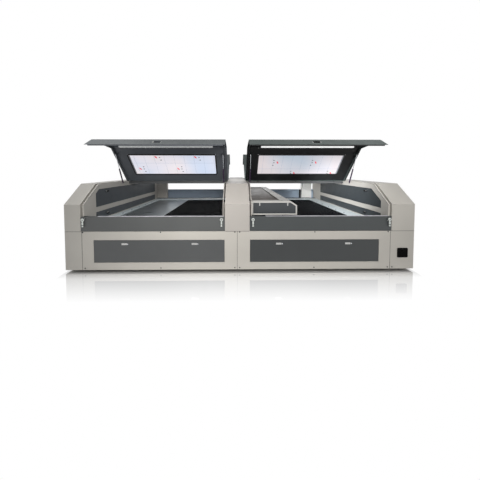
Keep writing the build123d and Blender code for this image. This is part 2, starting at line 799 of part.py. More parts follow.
def build_lamp(bay):
    """The lamp strip under the slanted part of a front lid."""
    low, high = side_margins(bay, lamp_margin_end, lamp_margin_middle)
    bend, top = lid_outline("front", sheet)[1]
    slope = hypot(slant_run, slant_rise)
    run, rise = slant_run / slope, slant_rise / slope
    centre = (bend + run * lamp_offset - rise * lamp_depth / 2, top + rise * lamp_offset + run * lamp_depth / 2)
    with BuildPart() as lamp:
        with BuildSketch(lid_plane("front", low)):
            with Locations(centre):
                SlotOverall(lamp_width, lamp_depth, rotation=degrees(atan2(rise, run)))
            corner = Vector(centre[0] + rise * lamp_depth / 4, centre[1] - run * lamp_depth / 4)
            with Locations((corner.X, corner.Y)):
                Rectangle(lamp_width, lamp_depth / 2, rotation=degrees(atan2(rise, run)))
        extrude(amount=high - low)
    return lamp


def strut_line(place):
    """Foot and head of a strut at rest in Y and Z, and its length when the lid is closed."""
    angle = radians(front_lid_open if place == "front" else rear_lid_open)
    way = -1 if place == "front" else 1
    hinge_y = front_hinge_y if place == "front" else rear_hinge_y
    foot = (front_foot_y if place == "front" else rear_foot_y, strut_foot_z)
    head_y = hinge_y + way * (strut_head_reach * cos(angle) + strut_head_depth * sin(angle))
    head_z = hinge_z + strut_head_reach * sin(angle) - strut_head_depth * cos(angle)
    closed = hypot(hinge_y + way * strut_head_reach - foot[0], hinge_z - strut_head_depth - foot[1])
    return foot, (head_y, head_z), closed


def strut_plane(place, distance):
    """A plane square to the strut, at a distance from its foot."""
    foot, head, _ = strut_line(place)
    length = hypot(head[0] - foot[0], head[1] - foot[1])
    way = Vector(0, (head[0] - foot[0]) / length, (head[1] - foot[1]) / length)
    return Plane(Vector(0, foot[0], foot[1]) + way * distance, x_dir=(1, 0, 0), z_dir=way)


def strut_tube(plane, x, radius, length, mode=Mode.ADD):
    """A round length of strut at one X position, from a plane square to the strut."""
    with BuildSketch(plane) as disc:
        with Locations((x, 0)):
            Circle(radius)
    extrude(disc.sketch, amount=length, mode=mode)


def build_strut(place, bay, piece):
    """The pair of cylinders, or the pair of rods, of one lid's gas struts."""
    foot, head, closed = strut_line(place)
    length = hypot(head[0] - foot[0], head[1] - foot[1])
    mouth = closed - strut_end_room
    low, high = bays[bay]
    with BuildPart() as strut:
        for x in (low + strut_inset, high - strut_inset):
            eye_x = (x - strut_eye_width / 2, x + strut_eye_width / 2)
            if piece == "cylinders":
                cross_pin(eye_x, foot[0], foot[1], strut_eye_radius)
                strut_tube(strut_plane(place, strut_eye_radius / 2), x, strut_rod_radius, strut_eye_radius)
                strut_tube(strut_plane(place, strut_eye_radius + 2), x, strut_radius, mouth - strut_eye_radius - 2)
                start = strut_plane(place, 2 * strut_eye_radius)
                bore = strut_rod_radius + strut_rod_clearance
                strut_tube(start, x, bore, mouth - 2 * strut_eye_radius + 1, Mode.SUBTRACT)
                hole = strut_stud_radius + strut_stud_clearance
                cross_pin((eye_x[0] - 1, eye_x[1] + 1), foot[0], foot[1], hole, Mode.SUBTRACT)
            else:
                start = mouth - strut_engagement
                strut_tube(strut_plane(place, start), x, strut_rod_radius, length - start)
                cross_pin(eye_x, head[0], head[1], strut_eye_radius)
    return strut


# Lids, windows, lamps and struts
for place in ("front", "rear"):
    for bay in bays:
        shell = build_lid_shell(place, bay)
        shell.part.label = f"{place}_{bay}_lid"
        export_step(shell.part, f"parts/{place}_{bay}_lid.step")
        pane = build_window(place, bay)
        pane.part.label = f"{place}_{bay}_window"
        export_step(pane.part, f"parts/{place}_{bay}_window.step")
        for piece in ("cylinders", "rods"):
            strut = build_strut(place, bay, piece)
            strut.part.label = f"{place}_{bay}_strut_{piece}"
            export_step(strut.part, f"parts/{place}_{bay}_strut_{piece}.step")
for bay in bays:
    lamp = build_lamp(bay)
    lamp.part.label = f"{bay}_lamp"
    export_step(lamp.part, f"parts/{bay}_lamp.step")

# Drop bands, hinged along the foot, with a latch plate near each end
for bay, (low, high) in bays.items():
    span = (low + band_gap, high - band_gap)
    with BuildPart() as drop_band:
        upright = (band_bottom, band_top - band_top_gap)
        block(span, (front_y, front_y + sheet), upright)
        block(span, (front_y, front_y + band_return), (upright[1] - sheet, upright[1]))
        block(span, (front_y, front_y + band_foot_return), (upright[0], upright[0] + sheet))
        for edge, inward in ((span[0], 1), (span[1], -1)):
            block((edge, edge + inward * sheet), (front_y, front_y + band_return), upright)
            pin = (edge - inward * (band_gap + 2 * sheet), edge + inward * sheet)
            cross_pin(pin, front_y + pivot_setback, band_pivot_z, pivot_radius)
        for x, _ in latch_centres(bay):
            latch_plane = Plane((x, front_y, latch_z), x_dir=(1, 0, 0), z_dir=(0, -1, 0))
            with BuildSketch(latch_plane) as plate:
                RectangleRounded(latch_plate, latch_plate, 5)
            extrude(plate.sketch, amount=latch_plate_thickness)
            with BuildSketch(latch_plane.offset(-sheet - 1)) as hole:
                Circle(latch_spindle_radius + pivot_clearance)
            extrude(hole.sketch, amount=sheet + latch_plate_thickness + 2, mode=Mode.SUBTRACT)
    drop_band.part.label = f"{bay}_drop_band"
    export_step(drop_band.part, f"parts/{bay}_drop_band.step")

    for number, (x, _) in enumerate(latch_centres(bay), start=1):
        outside = Plane((x, front_y - latch_proud, latch_z), x_dir=(1, 0, 0), z_dir=(0, 1, 0))
        with BuildPart() as latch:
            with BuildSketch(outside):
                with Locations((0, (latch_lever_length - latch_lever_width) / 2)):
                    SlotOverall(latch_lever_length, latch_lever_width, rotation=90)
            extrude(amount=latch_lever_thickness)
            with BuildSketch(outside) as spindle:
                Circle(latch_spindle_radius)
            spindle_length = latch_proud + latch_cam_setback
            extrude(spindle.sketch, amount=spindle_length)
            with BuildSketch(outside.offset(spindle_length - latch_cam_thickness)) as cam:
                with Locations((0, (latch_cam_length - latch_cam_width) / 2)):
                    Rectangle(latch_cam_width, latch_cam_length)
            extrude(cam.sketch, amount=latch_cam_thickness)
        latch.part.label = f"{bay}_band_latch_{number}"
        export_step(latch.part, f"parts/{bay}_band_latch_{number}.step")

# Lower doors with cups for the flush paddles
for bay, way in (("left", -1), ("right", 1)):
    low, high = door_span(bay)
    span = (low + door_gap, high - door_gap)
    upright = (door_bottom + door_gap + 1, door_top - door_gap)
    paddle_z = door_top - paddle_drop
    centres = sorted(seam_x + way * distance for distance in paddle_positions)
    cup_y = front_y + paddle_cup_depth
    half_w = paddle_cup_width / 2
    half_h = paddle_cup_height / 2
    with BuildPart() as lower_door:
        block(span, (front_y, front_y + door_return), upright)
        inner = (span[0] + sheet, span[1] - sheet)
        core = (upright[0] + sheet, upright[1] - sheet)
        block(inner, (front_y + sheet, front_y + door_return + 1), core, Mode.SUBTRACT)
        for edge, inward in ((span[0], 1), (span[1], -1)):
            pin = (edge - inward * (door_gap + sheet), edge + inward * sheet)
            cross_pin(pin, front_y + door_pivot_setback, door_pivot_z, pivot_radius)
        for x in centres:
            wall = paddle_cup_wall
            around_x = (x - half_w - wall, x + half_w + wall)
            around_z = (paddle_z - half_h - wall, paddle_z + half_h + wall)
            block(around_x, (front_y + 1, cup_y + wall), around_z)
            bowl = (paddle_z - half_h, paddle_z + half_h)
            block((x - half_w, x + half_w), (front_y - 1, cup_y), bowl, Mode.SUBTRACT)
            block((x + half_w - paddle_lock_width, x + half_w), (front_y, cup_y + 1), bowl)
            pivot_x = x - half_w + paddle_end_gap + paddle_pivot_inset
            with BuildSketch(Plane.XY.offset(around_z[0] - 1)) as hole:
                with Locations((pivot_x, front_y + door_pivot_setback)):
                    Circle(paddle_pin_radius + paddle_pin_clearance)
            extrude(hole.sketch, amount=around_z[1] - around_z[0] + 2, mode=Mode.SUBTRACT)
    lower_door.part.label = f"{bay}_lower_door"
    export_step(lower_door.part, f"parts/{bay}_lower_door.step")

    for number, x in enumerate(centres, start=1):
        start = x - half_w + paddle_end_gap
        pivot = (start + paddle_pivot_inset, front_y + door_pivot_setback)
        with BuildPart() as paddle:
            reach = (start, start + paddle_width)
            tall = (paddle_z - half_h + paddle_gap, paddle_z + half_h - paddle_gap)
            block(reach, (front_y, front_y + paddle_thickness), tall)
            with BuildSketch(Plane.XY.offset(paddle_z - half_h - paddle_cup_wall)) as pin:
                with Locations(pivot):
                    Circle(paddle_pin_radius)
            extrude(pin.sketch, amount=paddle_cup_height + 2 * paddle_cup_wall)
        paddle.part.label = f"{bay}_door_paddle_{number}"
        export_step(paddle.part, f"parts/{bay}_door_paddle_{number}.step")

# Rail beams, linear rails and racks across both bays
rail_span = (left_wall + side_clearance, right_wall - side_clearance)
with BuildPart() as rail_beams:
    for start in (front_y + rail_beam_front, rear_y - rail_beam_front - rail_beam_width):
        tube = (start, start + rail_beam_width)
        block(rail_span, tube, (seam_height, rail_beam_top))
        hollow = (tube[0] + rail_beam_wall, tube[1] - rail_beam_wall)
        core = (seam_height + rail_beam_wall, rail_beam_top - rail_beam_wall)
        block((rail_span[0] - 1, rail_span[1] + 1), hollow, core, Mode.SUBTRACT)
rail_beams.part.label = "rail_beams"
export_step(rail_beams.part, "parts/rail_beams.step")

rail_lines = ((front_y + rail_line, -1), (rear_y - rail_line, 1))
with BuildPart() as linear_rails:
    for y, outward in rail_lines:
        waist = rail_width / 2 - 3
        half = rail_width / 2
        profile = [
            (y - half, rail_beam_top),
            (y - half, rail_beam_top + rail_height / 3),
            (y - waist, rail_beam_top + rail_height / 2),
            (y - half, rail_beam_top + rail_height * 2 / 3),
            (y - half, rail_beam_top + rail_height),
            (y + half, rail_beam_top + rail_height),
            (y + half, rail_beam_top + rail_height * 2 / 3),
            (y + waist, rail_beam_top + rail_height / 2),
            (y + half, rail_beam_top + rail_height / 3),
            (y + half, rail_beam_top),
        ]
        side_slab(profile, rail_span)
        rack_y = y + outward * (rack_offset + rack_size / 2)
        block(rail_span, (rack_y - rack_size / 2, rack_y + rack_size / 2), (rail_beam_top, rail_beam_top + rack_size))
linear_rails.part.label = "linear_rails"
export_step(linear_rails.part, "parts/linear_rails.step")

# Bed frame with a seat for the parking plate and one for the honeycomb
bed_x = rail_span
plate_x = (left_wall + left_ledge, left_wall + left_ledge + parking_width)
comb_x = (plate_x[1] + plate_divider, right_wall - right_ledge)
bed_y = (front_y + rail_beam_front + rail_beam_width + bed_gap, rear_y - rail_beam_front - rail_beam_width - bed_gap)
comb_y = (front_y + bed_front, rear_y - bed_rear)
comb_bottom = bed_top - honeycomb_thickness
with BuildPart() as bed_frame:
    block(bed_x, bed_y, (seam_height, rail_beam_top))
    block(plate_x, comb_y, (bed_top - sheet, rail_beam_top + 1), Mode.SUBTRACT)
    block(comb_x, comb_y, (comb_bottom, rail_beam_top + 1), Mode.SUBTRACT)
    for pocket in (plate_x, comb_x):
        through = (pocket[0] + ledge_seat, pocket[1] - ledge_seat)
        clear_y = (comb_y[0] + ledge_seat, comb_y[1] - ledge_seat)
        block(through, clear_y, (seam_height - 1, rail_beam_top + 1), Mode.SUBTRACT)
    block((plate_x[1] - 1, comb_x[0] + 1), comb_y, (bed_top, rail_beam_top + 1), Mode.SUBTRACT)
    skirt = (seam_height - 1, rail_beam_top - frame_top)
    inner_x = (bed_x[0] + frame_wall, bed_x[1] - frame_wall)
    inner_y = (bed_y[0] + frame_wall, bed_y[1] - frame_wall)
    near_y = comb_y[0] - frame_wall
    far_y = comb_y[1] + frame_wall
    block((inner_x[0], plate_x[0] - frame_wall), inner_y, skirt, Mode.SUBTRACT)
    block((comb_x[1] + frame_wall, inner_x[1]), inner_y, skirt, Mode.SUBTRACT)
    block(inner_x, (inner_y[0], near_y), skirt, Mode.SUBTRACT)
    block(inner_x, (far_y, inner_y[1]), skirt, Mode.SUBTRACT)
    under_seat = (seam_height - 1, comb_bottom - frame_top)
    block((comb_x[0], comb_x[1]), comb_y, under_seat, Mode.SUBTRACT)
    block((plate_x[0], plate_x[1]), comb_y, (seam_height - 1, bed_top - sheet - frame_top), Mode.SUBTRACT)
bed_frame.part.label = "bed_frame"
export_step(bed_frame.part, "parts/bed_frame.step")

with BuildPart() as parking_plate:
    block(plate_x, comb_y, (bed_top - sheet, bed_top))
    slot_centre = ((plate_x[0] + plate_x[1]) / 2, comb_y[0] + slot_setback)
    with BuildSketch(Plane.XY.offset(bed_top - sheet - 1)) as slot:
        with Locations(slot_centre):
            SlotOverall(slot_width, slot_height)
    extrude(slot.sketch, amount=sheet + 2, mode=Mode.SUBTRACT)
parking_plate.part.label = "parking_plate"
export_step(parking_plate.part, "parts/parking_plate.step")

with BuildPart() as honeycomb_panel:
    block(comb_x, comb_y, (comb_bottom, bed_top))
    pitch_x = (comb_x[1] - comb_x[0] - honeycomb_rib) / honeycomb_bays[0]
    pitch_y = (comb_y[1] - comb_y[0] - honeycomb_rib) / honeycomb_bays[1]
    middle = ((comb_x[0] + comb_x[1]) / 2, (comb_y[0] + comb_y[1]) / 2)
    with BuildSketch(Plane.XY.offset(comb_bottom)) as pockets:
        with Locations(middle):
            with GridLocations(pitch_x, pitch_y, *honeycomb_bays):
                Rectangle(pitch_x - honeycomb_rib, pitch_y - honeycomb_rib)
    extrude(pockets.sketch, amount=honeycomb_thickness - honeycomb_skin, mode=Mode.SUBTRACT)
honeycomb_panel.part.label = "honeycomb_panel"
export_step(honeycomb_panel.part, "parts/honeycomb_panel.step")

slat_y = (comb_y[0] + ledge_seat, comb_y[1] - ledge_seat)
slat_span = comb_x[1] - comb_x[0] - 2 * ledge_seat
slat_count = int(slat_span // slat_pitch)
with BuildPart() as support_slats:
    for number in range(slat_count):
        x = comb_x[0] + ledge_seat + (number + 0.5) * slat_span / slat_count
        block((x - slat_thickness / 2, x + slat_thickness / 2), slat_y, (comb_bottom - slat_height, comb_bottom))
support_slats.part.label = "support_slats"
export_step(support_slats.part, "parts/support_slats.step")

# Rear corner pieces, standing on the rear rail beam
corner_y = (rear_y - corner_setback - corner_depth, rear_y - corner_setback)


def corner_box(x, top, rounded_side):
    """A box with rounded edges on the side that faces the bay's middle."""
    with BuildPart() as box:
        block(x, corner_y, (rail_beam_top, top))
        near = box.edges().filter_by(Axis.Y).group_by(Axis.X)[-1 if rounded_side > 0 else 0]
        fillet(near.sort_by(Axis.Z)[-1], radius=corner_radius)
        near = box.edges().filter_by(Axis.Z).group_by(Axis.X)[-1 if rounded_side > 0 else 0]
        fillet(near.sort_by(Axis.Y)[0], radius=corner_radius / 3)
        offset(amount=-sheet, openings=box.faces().sort_by(Axis.Z)[0])
    return box


corner_cover = corner_box((left_wall, left_wall + corner_cover_width), corner_cover_top, 1)
corner_cover.part.label = "rear_left_corner_cover"
export_step(corner_cover.part, "parts/rear_left_corner_cover.step")

housing_x = (right_wall - housing_wall_gap - housing_width, right_wall - housing_wall_gap)
housing = corner_box(housing_x, housing_top, -1)
housing.part.label = "rear_right_housing"
export_step(housing.part, "parts/rear_right_housing.step")

hose_x = housing_x[0] - hose_offset
hose_y = (corner_y[0] + corner_y[1]) / 2
with BuildPart() as housing_hose:
    with BuildSketch(Plane((hose_x, hose_y, rail_beam_top), x_dir=(1, 0, 0), z_dir=(0, -1, 0))) as section:
        points = [(0, 0)]
        for ring in range(hose_rings):
            z = ring * hose_pitch
            points += [(hose_radius, z), (hose_radius - hose_groove, z + hose_pitch * 0.7)]
        points += [(0, points[-1][1])]
        Polygon(*points, align=None)
    revolve(section.sketch, axis=Axis((hose_x, hose_y, 0), (0, 0, 1)))
housing_hose.part.label = "housing_hose"
export_step(housing_hose.part, "parts/housing_hose.step")


def gantry_outline(inset):
    """The gantry cover's section in X and Z, moved inwards by inset."""
    low, high = gantry_x + inset, gantry_x + gantry_width - inset
    top = gantry_top - inset
    slope = hypot(gantry_chamfer_width, gantry_chamfer_drop)
    break_x = gantry_x + gantry_width - gantry_chamfer_width
    break_x += inset * (gantry_chamfer_width - slope) / gantry_chamfer_drop
    side_z = gantry_top - gantry_chamfer_drop
    side_z += inset * (gantry_chamfer_drop - slope) / gantry_chamfer_width
    return [(low, gantry_bottom), (low, top), (break_x, top), (high, side_z), (high, gantry_bottom)]


def depth_slab(points, y, mode=Mode.ADD):
    """A slab from front to rear with its outline given in X and Z."""
    low, high = sorted(y)
    with BuildSketch(Plane((0, high, 0), x_dir=(1, 0, 0), z_dir=(0, -1, 0))) as outline:
        Polygon(*points, align=None)
    extrude(outline.sketch, amount=high - low, mode=mode)


# Gantry cover: a folded cover with a recess for the top panel and finger slots
top_x = (gantry_x + top_cover_left, gantry_x + top_cover_left + top_cover_width)
top_y = (gantry_front + top_cover_front, gantry_rear - top_cover_front)
with BuildPart() as gantry_cover:
    depth_slab(gantry_outline(0), (gantry_front, gantry_rear))
    hollow = gantry_outline(sheet)
    hollow[0] = (hollow[0][0], gantry_bottom - 1)
    hollow[-1] = (hollow[-1][0], gantry_bottom - 1)
    depth_slab(hollow, (gantry_front + sheet, gantry_rear - sheet), Mode.SUBTRACT)
    border = gantry_outline(gantry_border)
    border[0] = (border[0][0], gantry_bottom + gantry_border)
    border[-1] = (border[-1][0], gantry_bottom + gantry_border)
    depth_slab(border, (gantry_front - 1, gantry_rear + 1), Mode.SUBTRACT)
    block(top_x, top_y, (gantry_top - 2 * sheet, gantry_top + 1), Mode.SUBTRACT)
    for share in cover_slots:
        along = gantry_front + share * (gantry_rear - gantry_front)
        with BuildSketch(Plane.XY.offset(gantry_top - 2 * sheet)) as slot:
            with Locations((gantry_x + slot_line, along)):
                SlotOverall(cover_slot_length, cover_slot_width, rotation=90)
        extrude(slot.sketch, amount=3 * sheet, mode=Mode.SUBTRACT)
gantry_cover.part.label = "gantry_cover"
export_step(gantry_cover.part, "parts/gantry_cover.step")

with BuildPart() as gantry_end_panels:
    inner = gantry_outline(sheet)
    depth_slab(inner, (gantry_front + sheet, gantry_front + 2 * sheet))
    depth_slab(inner, (gantry_rear - 2 * sheet, gantry_rear - sheet))
gantry_end_panels.part.label = "gantry_end_panels"
export_step(gantry_end_panels.part, "parts/gantry_end_panels.step")

tray_x = (top_x[0] - top_cover_lap, top_x[1] + top_cover_lap)
tray_y = (top_y[0] - top_cover_lap, top_y[1] + top_cover_lap)
tray_top = gantry_top - sheet
with BuildPart() as gantry_top_cover:
    block(tray_x, tray_y, (tray_top - sheet, tray_top))
    floor_z = (tray_top - top_cover_depth, tray_top)
    grown_x = (top_x[0] - sheet, top_x[1] + sheet)
    grown_y = (top_y[0] - sheet, top_y[1] + sheet)
    block(grown_x, grown_y, floor_z)
    block(top_x, top_y, (tray_top - top_cover_depth + sheet, tray_top + 1), Mode.SUBTRACT)
gantry_top_cover.part.label = "gantry_top_cover"
export_step(gantry_top_cover.part, "parts/gantry_top_cover.step")

# Gantry beam with bulkheads, trucks on the linear rails and the head's rails
gantry_mid = gantry_x + gantry_width / 2
beam_y = (gantry_front + 4 * sheet, gantry_rear - 4 * sheet)
beam_x = (gantry_mid - beam_width / 2, gantry_mid + beam_width / 2)
beam_z = (beam_bottom, beam_bottom + beam_height)
rail_top = rail_beam_top + rail_height
head_rails = (gantry_mid - head_rail_spread / 2, gantry_mid + head_rail_spread / 2)
head_rail_y = (beam_y[0] + head_rail_margin, beam_y[1] - head_rail_margin)
with BuildPart() as gantry_beam:
    block(beam_x, beam_y, beam_z)
    for y in (beam_y[0] + bulkhead_margin, 0, beam_y[1] - bulkhead_margin):
        plate = gantry_outline(sheet)
        plate[0] = (plate[0][0], beam_bottom)
        plate[-1] = (plate[-1][0], beam_bottom)
        plate = [(x, min(z, tray_top - top_cover_depth)) for x, z in plate]
        depth_slab(plate, (y - bulkhead_thickness / 2, y + bulkhead_thickness / 2))
    tube_x = (beam_x[0] + beam_wall, beam_x[1] - beam_wall)
    tube_z = (beam_z[0] + beam_wall, beam_z[1] - beam_wall)
    block(tube_x, (beam_y[0] - 1, beam_y[1] + 1), tube_z, Mode.SUBTRACT)
    for y, _ in rail_lines:
        truck_y = (y - truck_width / 2, y + truck_width / 2)
        saddle_x = (gantry_mid - truck_spread / 2 - truck_length / 2, gantry_mid + truck_spread / 2 + truck_length / 2)
        plate_z = (rail_top + truck_wall, rail_top + truck_wall + truck_plate)
        block(saddle_x, truck_y, plate_z)
        block(beam_x, truck_y, (plate_z[1], beam_z[0]))
        for x in (gantry_mid - truck_spread / 2, gantry_mid + truck_spread / 2):
            along = (x - truck_length / 2, x + truck_length / 2)
            block(along, truck_y, (rail_beam_top + truck_clearance * 8, plate_z[0]))
            gap = rail_width / 2 + truck_clearance
            slot_z = (rail_beam_top, rail_top + truck_clearance)
            block((along[0] - 1, along[1] + 1), (y - gap, y + gap), slot_z, Mode.SUBTRACT)
    for x in head_rails:
        half = head_rail_width / 2
        block((x - half, x + half), head_rail_y, (beam_bottom - head_rail_height, beam_bottom))
gantry_beam.part.label = "gantry_beam"
export_step(gantry_beam.part, "parts/gantry_beam.step")

# Laser head: carriage, focus tube and nozzle
carriage_top = beam_bottom - head_clearance
carriage_bottom = carriage_top - head_rail_height - head_plate
with BuildPart() as laser_head:
    reach = (gantry_mid - head_width / 2, gantry_mid + head_width / 2)
    block(reach, (-head_length / 2, head_length / 2), (carriage_bottom, carriage_top))
    for x in head_rails:
        half = head_rail_width / 2 + head_clearance
        groove = (carriage_top - head_rail_height - head_clearance, carriage_top + 1)
        block((x - half, x + half), (-head_length, head_length), groove, Mode.SUBTRACT)
    with BuildSketch(Plane((gantry_mid, 0, 0), x_dir=(1, 0, 0), z_dir=(0, -1, 0))) as nozzle:
        with BuildLine():
            Polyline(
                (0, carriage_bottom + 1),
                (nozzle_radius, carriage_bottom + 1),
                (nozzle_radius, carriage_bottom - nozzle_radius),
                (nozzle_radius * 0.7, carriage_bottom - nozzle_radius),
                (nozzle_radius * 0.7, nozzle_tip + nozzle_radius),
                (nozzle_radius * 0.2, nozzle_tip),
                (0, nozzle_tip),
                close=True,
            )
        make_face()
    revolve(nozzle.sketch, axis=Axis((gantry_mid, 0, 0), (0, 0, 1)))
laser_head.part.label = "laser_head"
export_step(laser_head.part, "parts/laser_head.step")
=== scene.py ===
from math import cos, hypot, pi, radians, sin

import bmesh
import bpy
from mathutils import Matrix, Vector


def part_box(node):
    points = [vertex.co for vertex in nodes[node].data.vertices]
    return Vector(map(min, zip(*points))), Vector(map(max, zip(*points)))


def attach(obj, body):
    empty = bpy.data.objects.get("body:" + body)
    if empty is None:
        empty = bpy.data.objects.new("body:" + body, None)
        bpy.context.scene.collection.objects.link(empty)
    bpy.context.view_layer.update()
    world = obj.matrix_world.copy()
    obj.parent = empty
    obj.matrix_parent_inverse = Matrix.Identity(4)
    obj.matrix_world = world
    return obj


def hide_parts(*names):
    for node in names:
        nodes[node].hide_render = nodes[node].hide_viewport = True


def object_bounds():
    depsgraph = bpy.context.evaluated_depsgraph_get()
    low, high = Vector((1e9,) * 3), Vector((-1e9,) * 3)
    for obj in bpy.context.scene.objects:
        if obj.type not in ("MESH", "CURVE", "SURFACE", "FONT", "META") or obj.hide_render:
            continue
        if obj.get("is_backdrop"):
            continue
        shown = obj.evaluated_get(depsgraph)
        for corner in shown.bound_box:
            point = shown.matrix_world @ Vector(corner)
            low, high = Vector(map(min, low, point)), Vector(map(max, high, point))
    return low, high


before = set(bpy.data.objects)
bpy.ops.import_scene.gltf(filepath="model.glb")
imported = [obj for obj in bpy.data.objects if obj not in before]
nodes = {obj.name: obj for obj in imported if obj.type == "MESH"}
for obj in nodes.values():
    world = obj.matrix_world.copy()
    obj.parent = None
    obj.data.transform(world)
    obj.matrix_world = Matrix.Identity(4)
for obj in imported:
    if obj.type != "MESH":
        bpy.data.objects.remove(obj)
cad_low, cad_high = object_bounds()
scene = bpy.context.scene
scene.view_settings.view_transform = "Standard"


# Sizes in metres, taken from the frame
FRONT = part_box("base_left")[0].y
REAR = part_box("base_left")[1].y
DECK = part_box("left_end_cover")[1].z
LEFT = cad_low.x
RIGHT = cad_high.x
SEAM_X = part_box("base_left")[1].x
SEAM_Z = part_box("left_end_base")[1].z
FLOOR_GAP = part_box("base_left")[0].z
LEFT_BAY = (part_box("left_hinge_beam")[0].x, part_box("left_hinge_beam")[1].x)
RIGHT_BAY = (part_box("right_hinge_beam")[0].x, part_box("right_hinge_beam")[1].x)
BAYS = {"left": LEFT_BAY, "right": RIGHT_BAY}
LEFT_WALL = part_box("left_liners")[0].x
RIGHT_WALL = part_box("right_liners")[1].x

# The lids: hinge line, length, opening angle and window opening
HINGE_DROP = 0.010
LID_LENGTH = 1.040
HINGE_Z = DECK - HINGE_DROP
HINGE_Y = {"front": FRONT + LID_LENGTH, "rear": REAR - LID_LENGTH}
OPEN = {"front": radians(54.5), "rear": radians(37.5)}
OUTWARD = {"front": -1.0, "rear": 1.0}
END_MARGIN, MIDDLE_MARGIN = 0.257, 0.224
WINDOW_Y = (0.180, 0.598)
FILM_Y = (0.186, 0.592)
LIDS = [(place, bay) for place in ("front", "rear") for bay in BAYS]

AHEAD = (0, -1, 0)
UP = (0, 0, 1)


# Materials
def srgb(r, g, b):
    """A colour written as 8-bit sRGB, as linear values."""
    def lin(c):
        c /= 255.0
        return c / 12.92 if c <= 0.04045 else ((c + 0.055) / 1.055) ** 2.4
    return (lin(r), lin(g), lin(b), 1.0)


def scaled(colour, k):
    """A colour made lighter or darker."""
    return tuple(min(1.0, c * k) for c in colour[:3]) + (1.0,)


class Graph:
    """A small helper for building a node material."""

    def __init__(self, name):
        self.mat = bpy.data.materials.new(name)
        self.mat.use_nodes = True
        self.tree = self.mat.node_tree
        self.bsdf = self.tree.nodes["Principled BSDF"]
        self.coord = self.tree.nodes.new("ShaderNodeTexCoord")

    def new(self, kind):
        return self.tree.nodes.new(kind)

    def link(self, out, into):
        self.tree.links.new(out, into)

    def noise(self, scale, detail=3.0, rough=0.55, stretch=None, seed=0.0):
        """Noise over object coordinates, stretched and moved by a mapping."""
        n = self.new("ShaderNodeTexNoise")
        n.inputs["Scale"].default_value = scale
        n.inputs["Detail"].default_value = detail
        n.inputs["Roughness"].default_value = rough
        m = self.new("ShaderNodeMapping")
        m.inputs["Location"].default_value = (seed, seed * 0.7, seed * 1.3)
        if stretch:
            m.inputs["Scale"].default_value = stretch
        self.link(self.coord.outputs["Object"], m.inputs["Vector"])
        self.link(m.outputs["Vector"], n.inputs["Vector"])
        return n.outputs["Fac"]

    def ramp(self, value, stops):
        """A colour ramp through stops of position and colour."""
        r = self.new("ShaderNodeValToRGB")
        while len(r.color_ramp.elements) < len(stops):
            r.color_ramp.elements.new(0.5)
        for element, (position, colour) in zip(r.color_ramp.elements, stops):
            element.position = position
            element.color = colour
        self.link(value, r.inputs["Fac"])
        return r.outputs["Color"]

    def math(self, kind, a, b=None, clamp=False):
        m = self.new("ShaderNodeMath")
        m.operation = kind
        m.use_clamp = clamp
        for i, v in enumerate((a, b)):
            if v is None:
                continue
            if isinstance(v, (int, float)):
                m.inputs[i].default_value = v
            else:
                self.link(v, m.inputs[i])
        return m.outputs[0]

    def span(self, value, source, target):
        """A value moved from one range to another, and clamped to it."""
        m = self.new("ShaderNodeMapRange")
        m.inputs["From Min"].default_value, m.inputs["From Max"].default_value = source
        m.inputs["To Min"].default_value, m.inputs["To Max"].default_value = target
        self.link(value, m.inputs["Value"])
        return m.outputs["Result"]

    def mix(self, fac, a, b):
        """Two colours mixed; the sockets 6, 7 and output 2 are the node's colour ones."""
        m = self.new("ShaderNodeMix")
        m.data_type = "RGBA"
        for sock, v in ((m.inputs[0], fac), (m.inputs[6], a), (m.inputs[7], b)):
            if isinstance(v, (int, float, tuple)):
                sock.default_value = v
            else:
                self.link(v, sock)
        return m.outputs[2]

    def axis(self, which):
        s = self.new("ShaderNodeSeparateXYZ")
        self.link(self.coord.outputs["Object"], s.inputs[0])
        return s.outputs[which]

    def bump(self, height, strength, distance):
        b = self.new("ShaderNodeBump")
        b.inputs["Strength"].default_value = strength
        b.inputs["Distance"].default_value = distance
        self.link(height, b.inputs["Height"])
        self.link(b.outputs["Normal"], self.bsdf.inputs["Normal"])

    def set(self, **values):
        for key, value in values.items():
            self.bsdf.inputs[key.replace("_", " ")].default_value = value


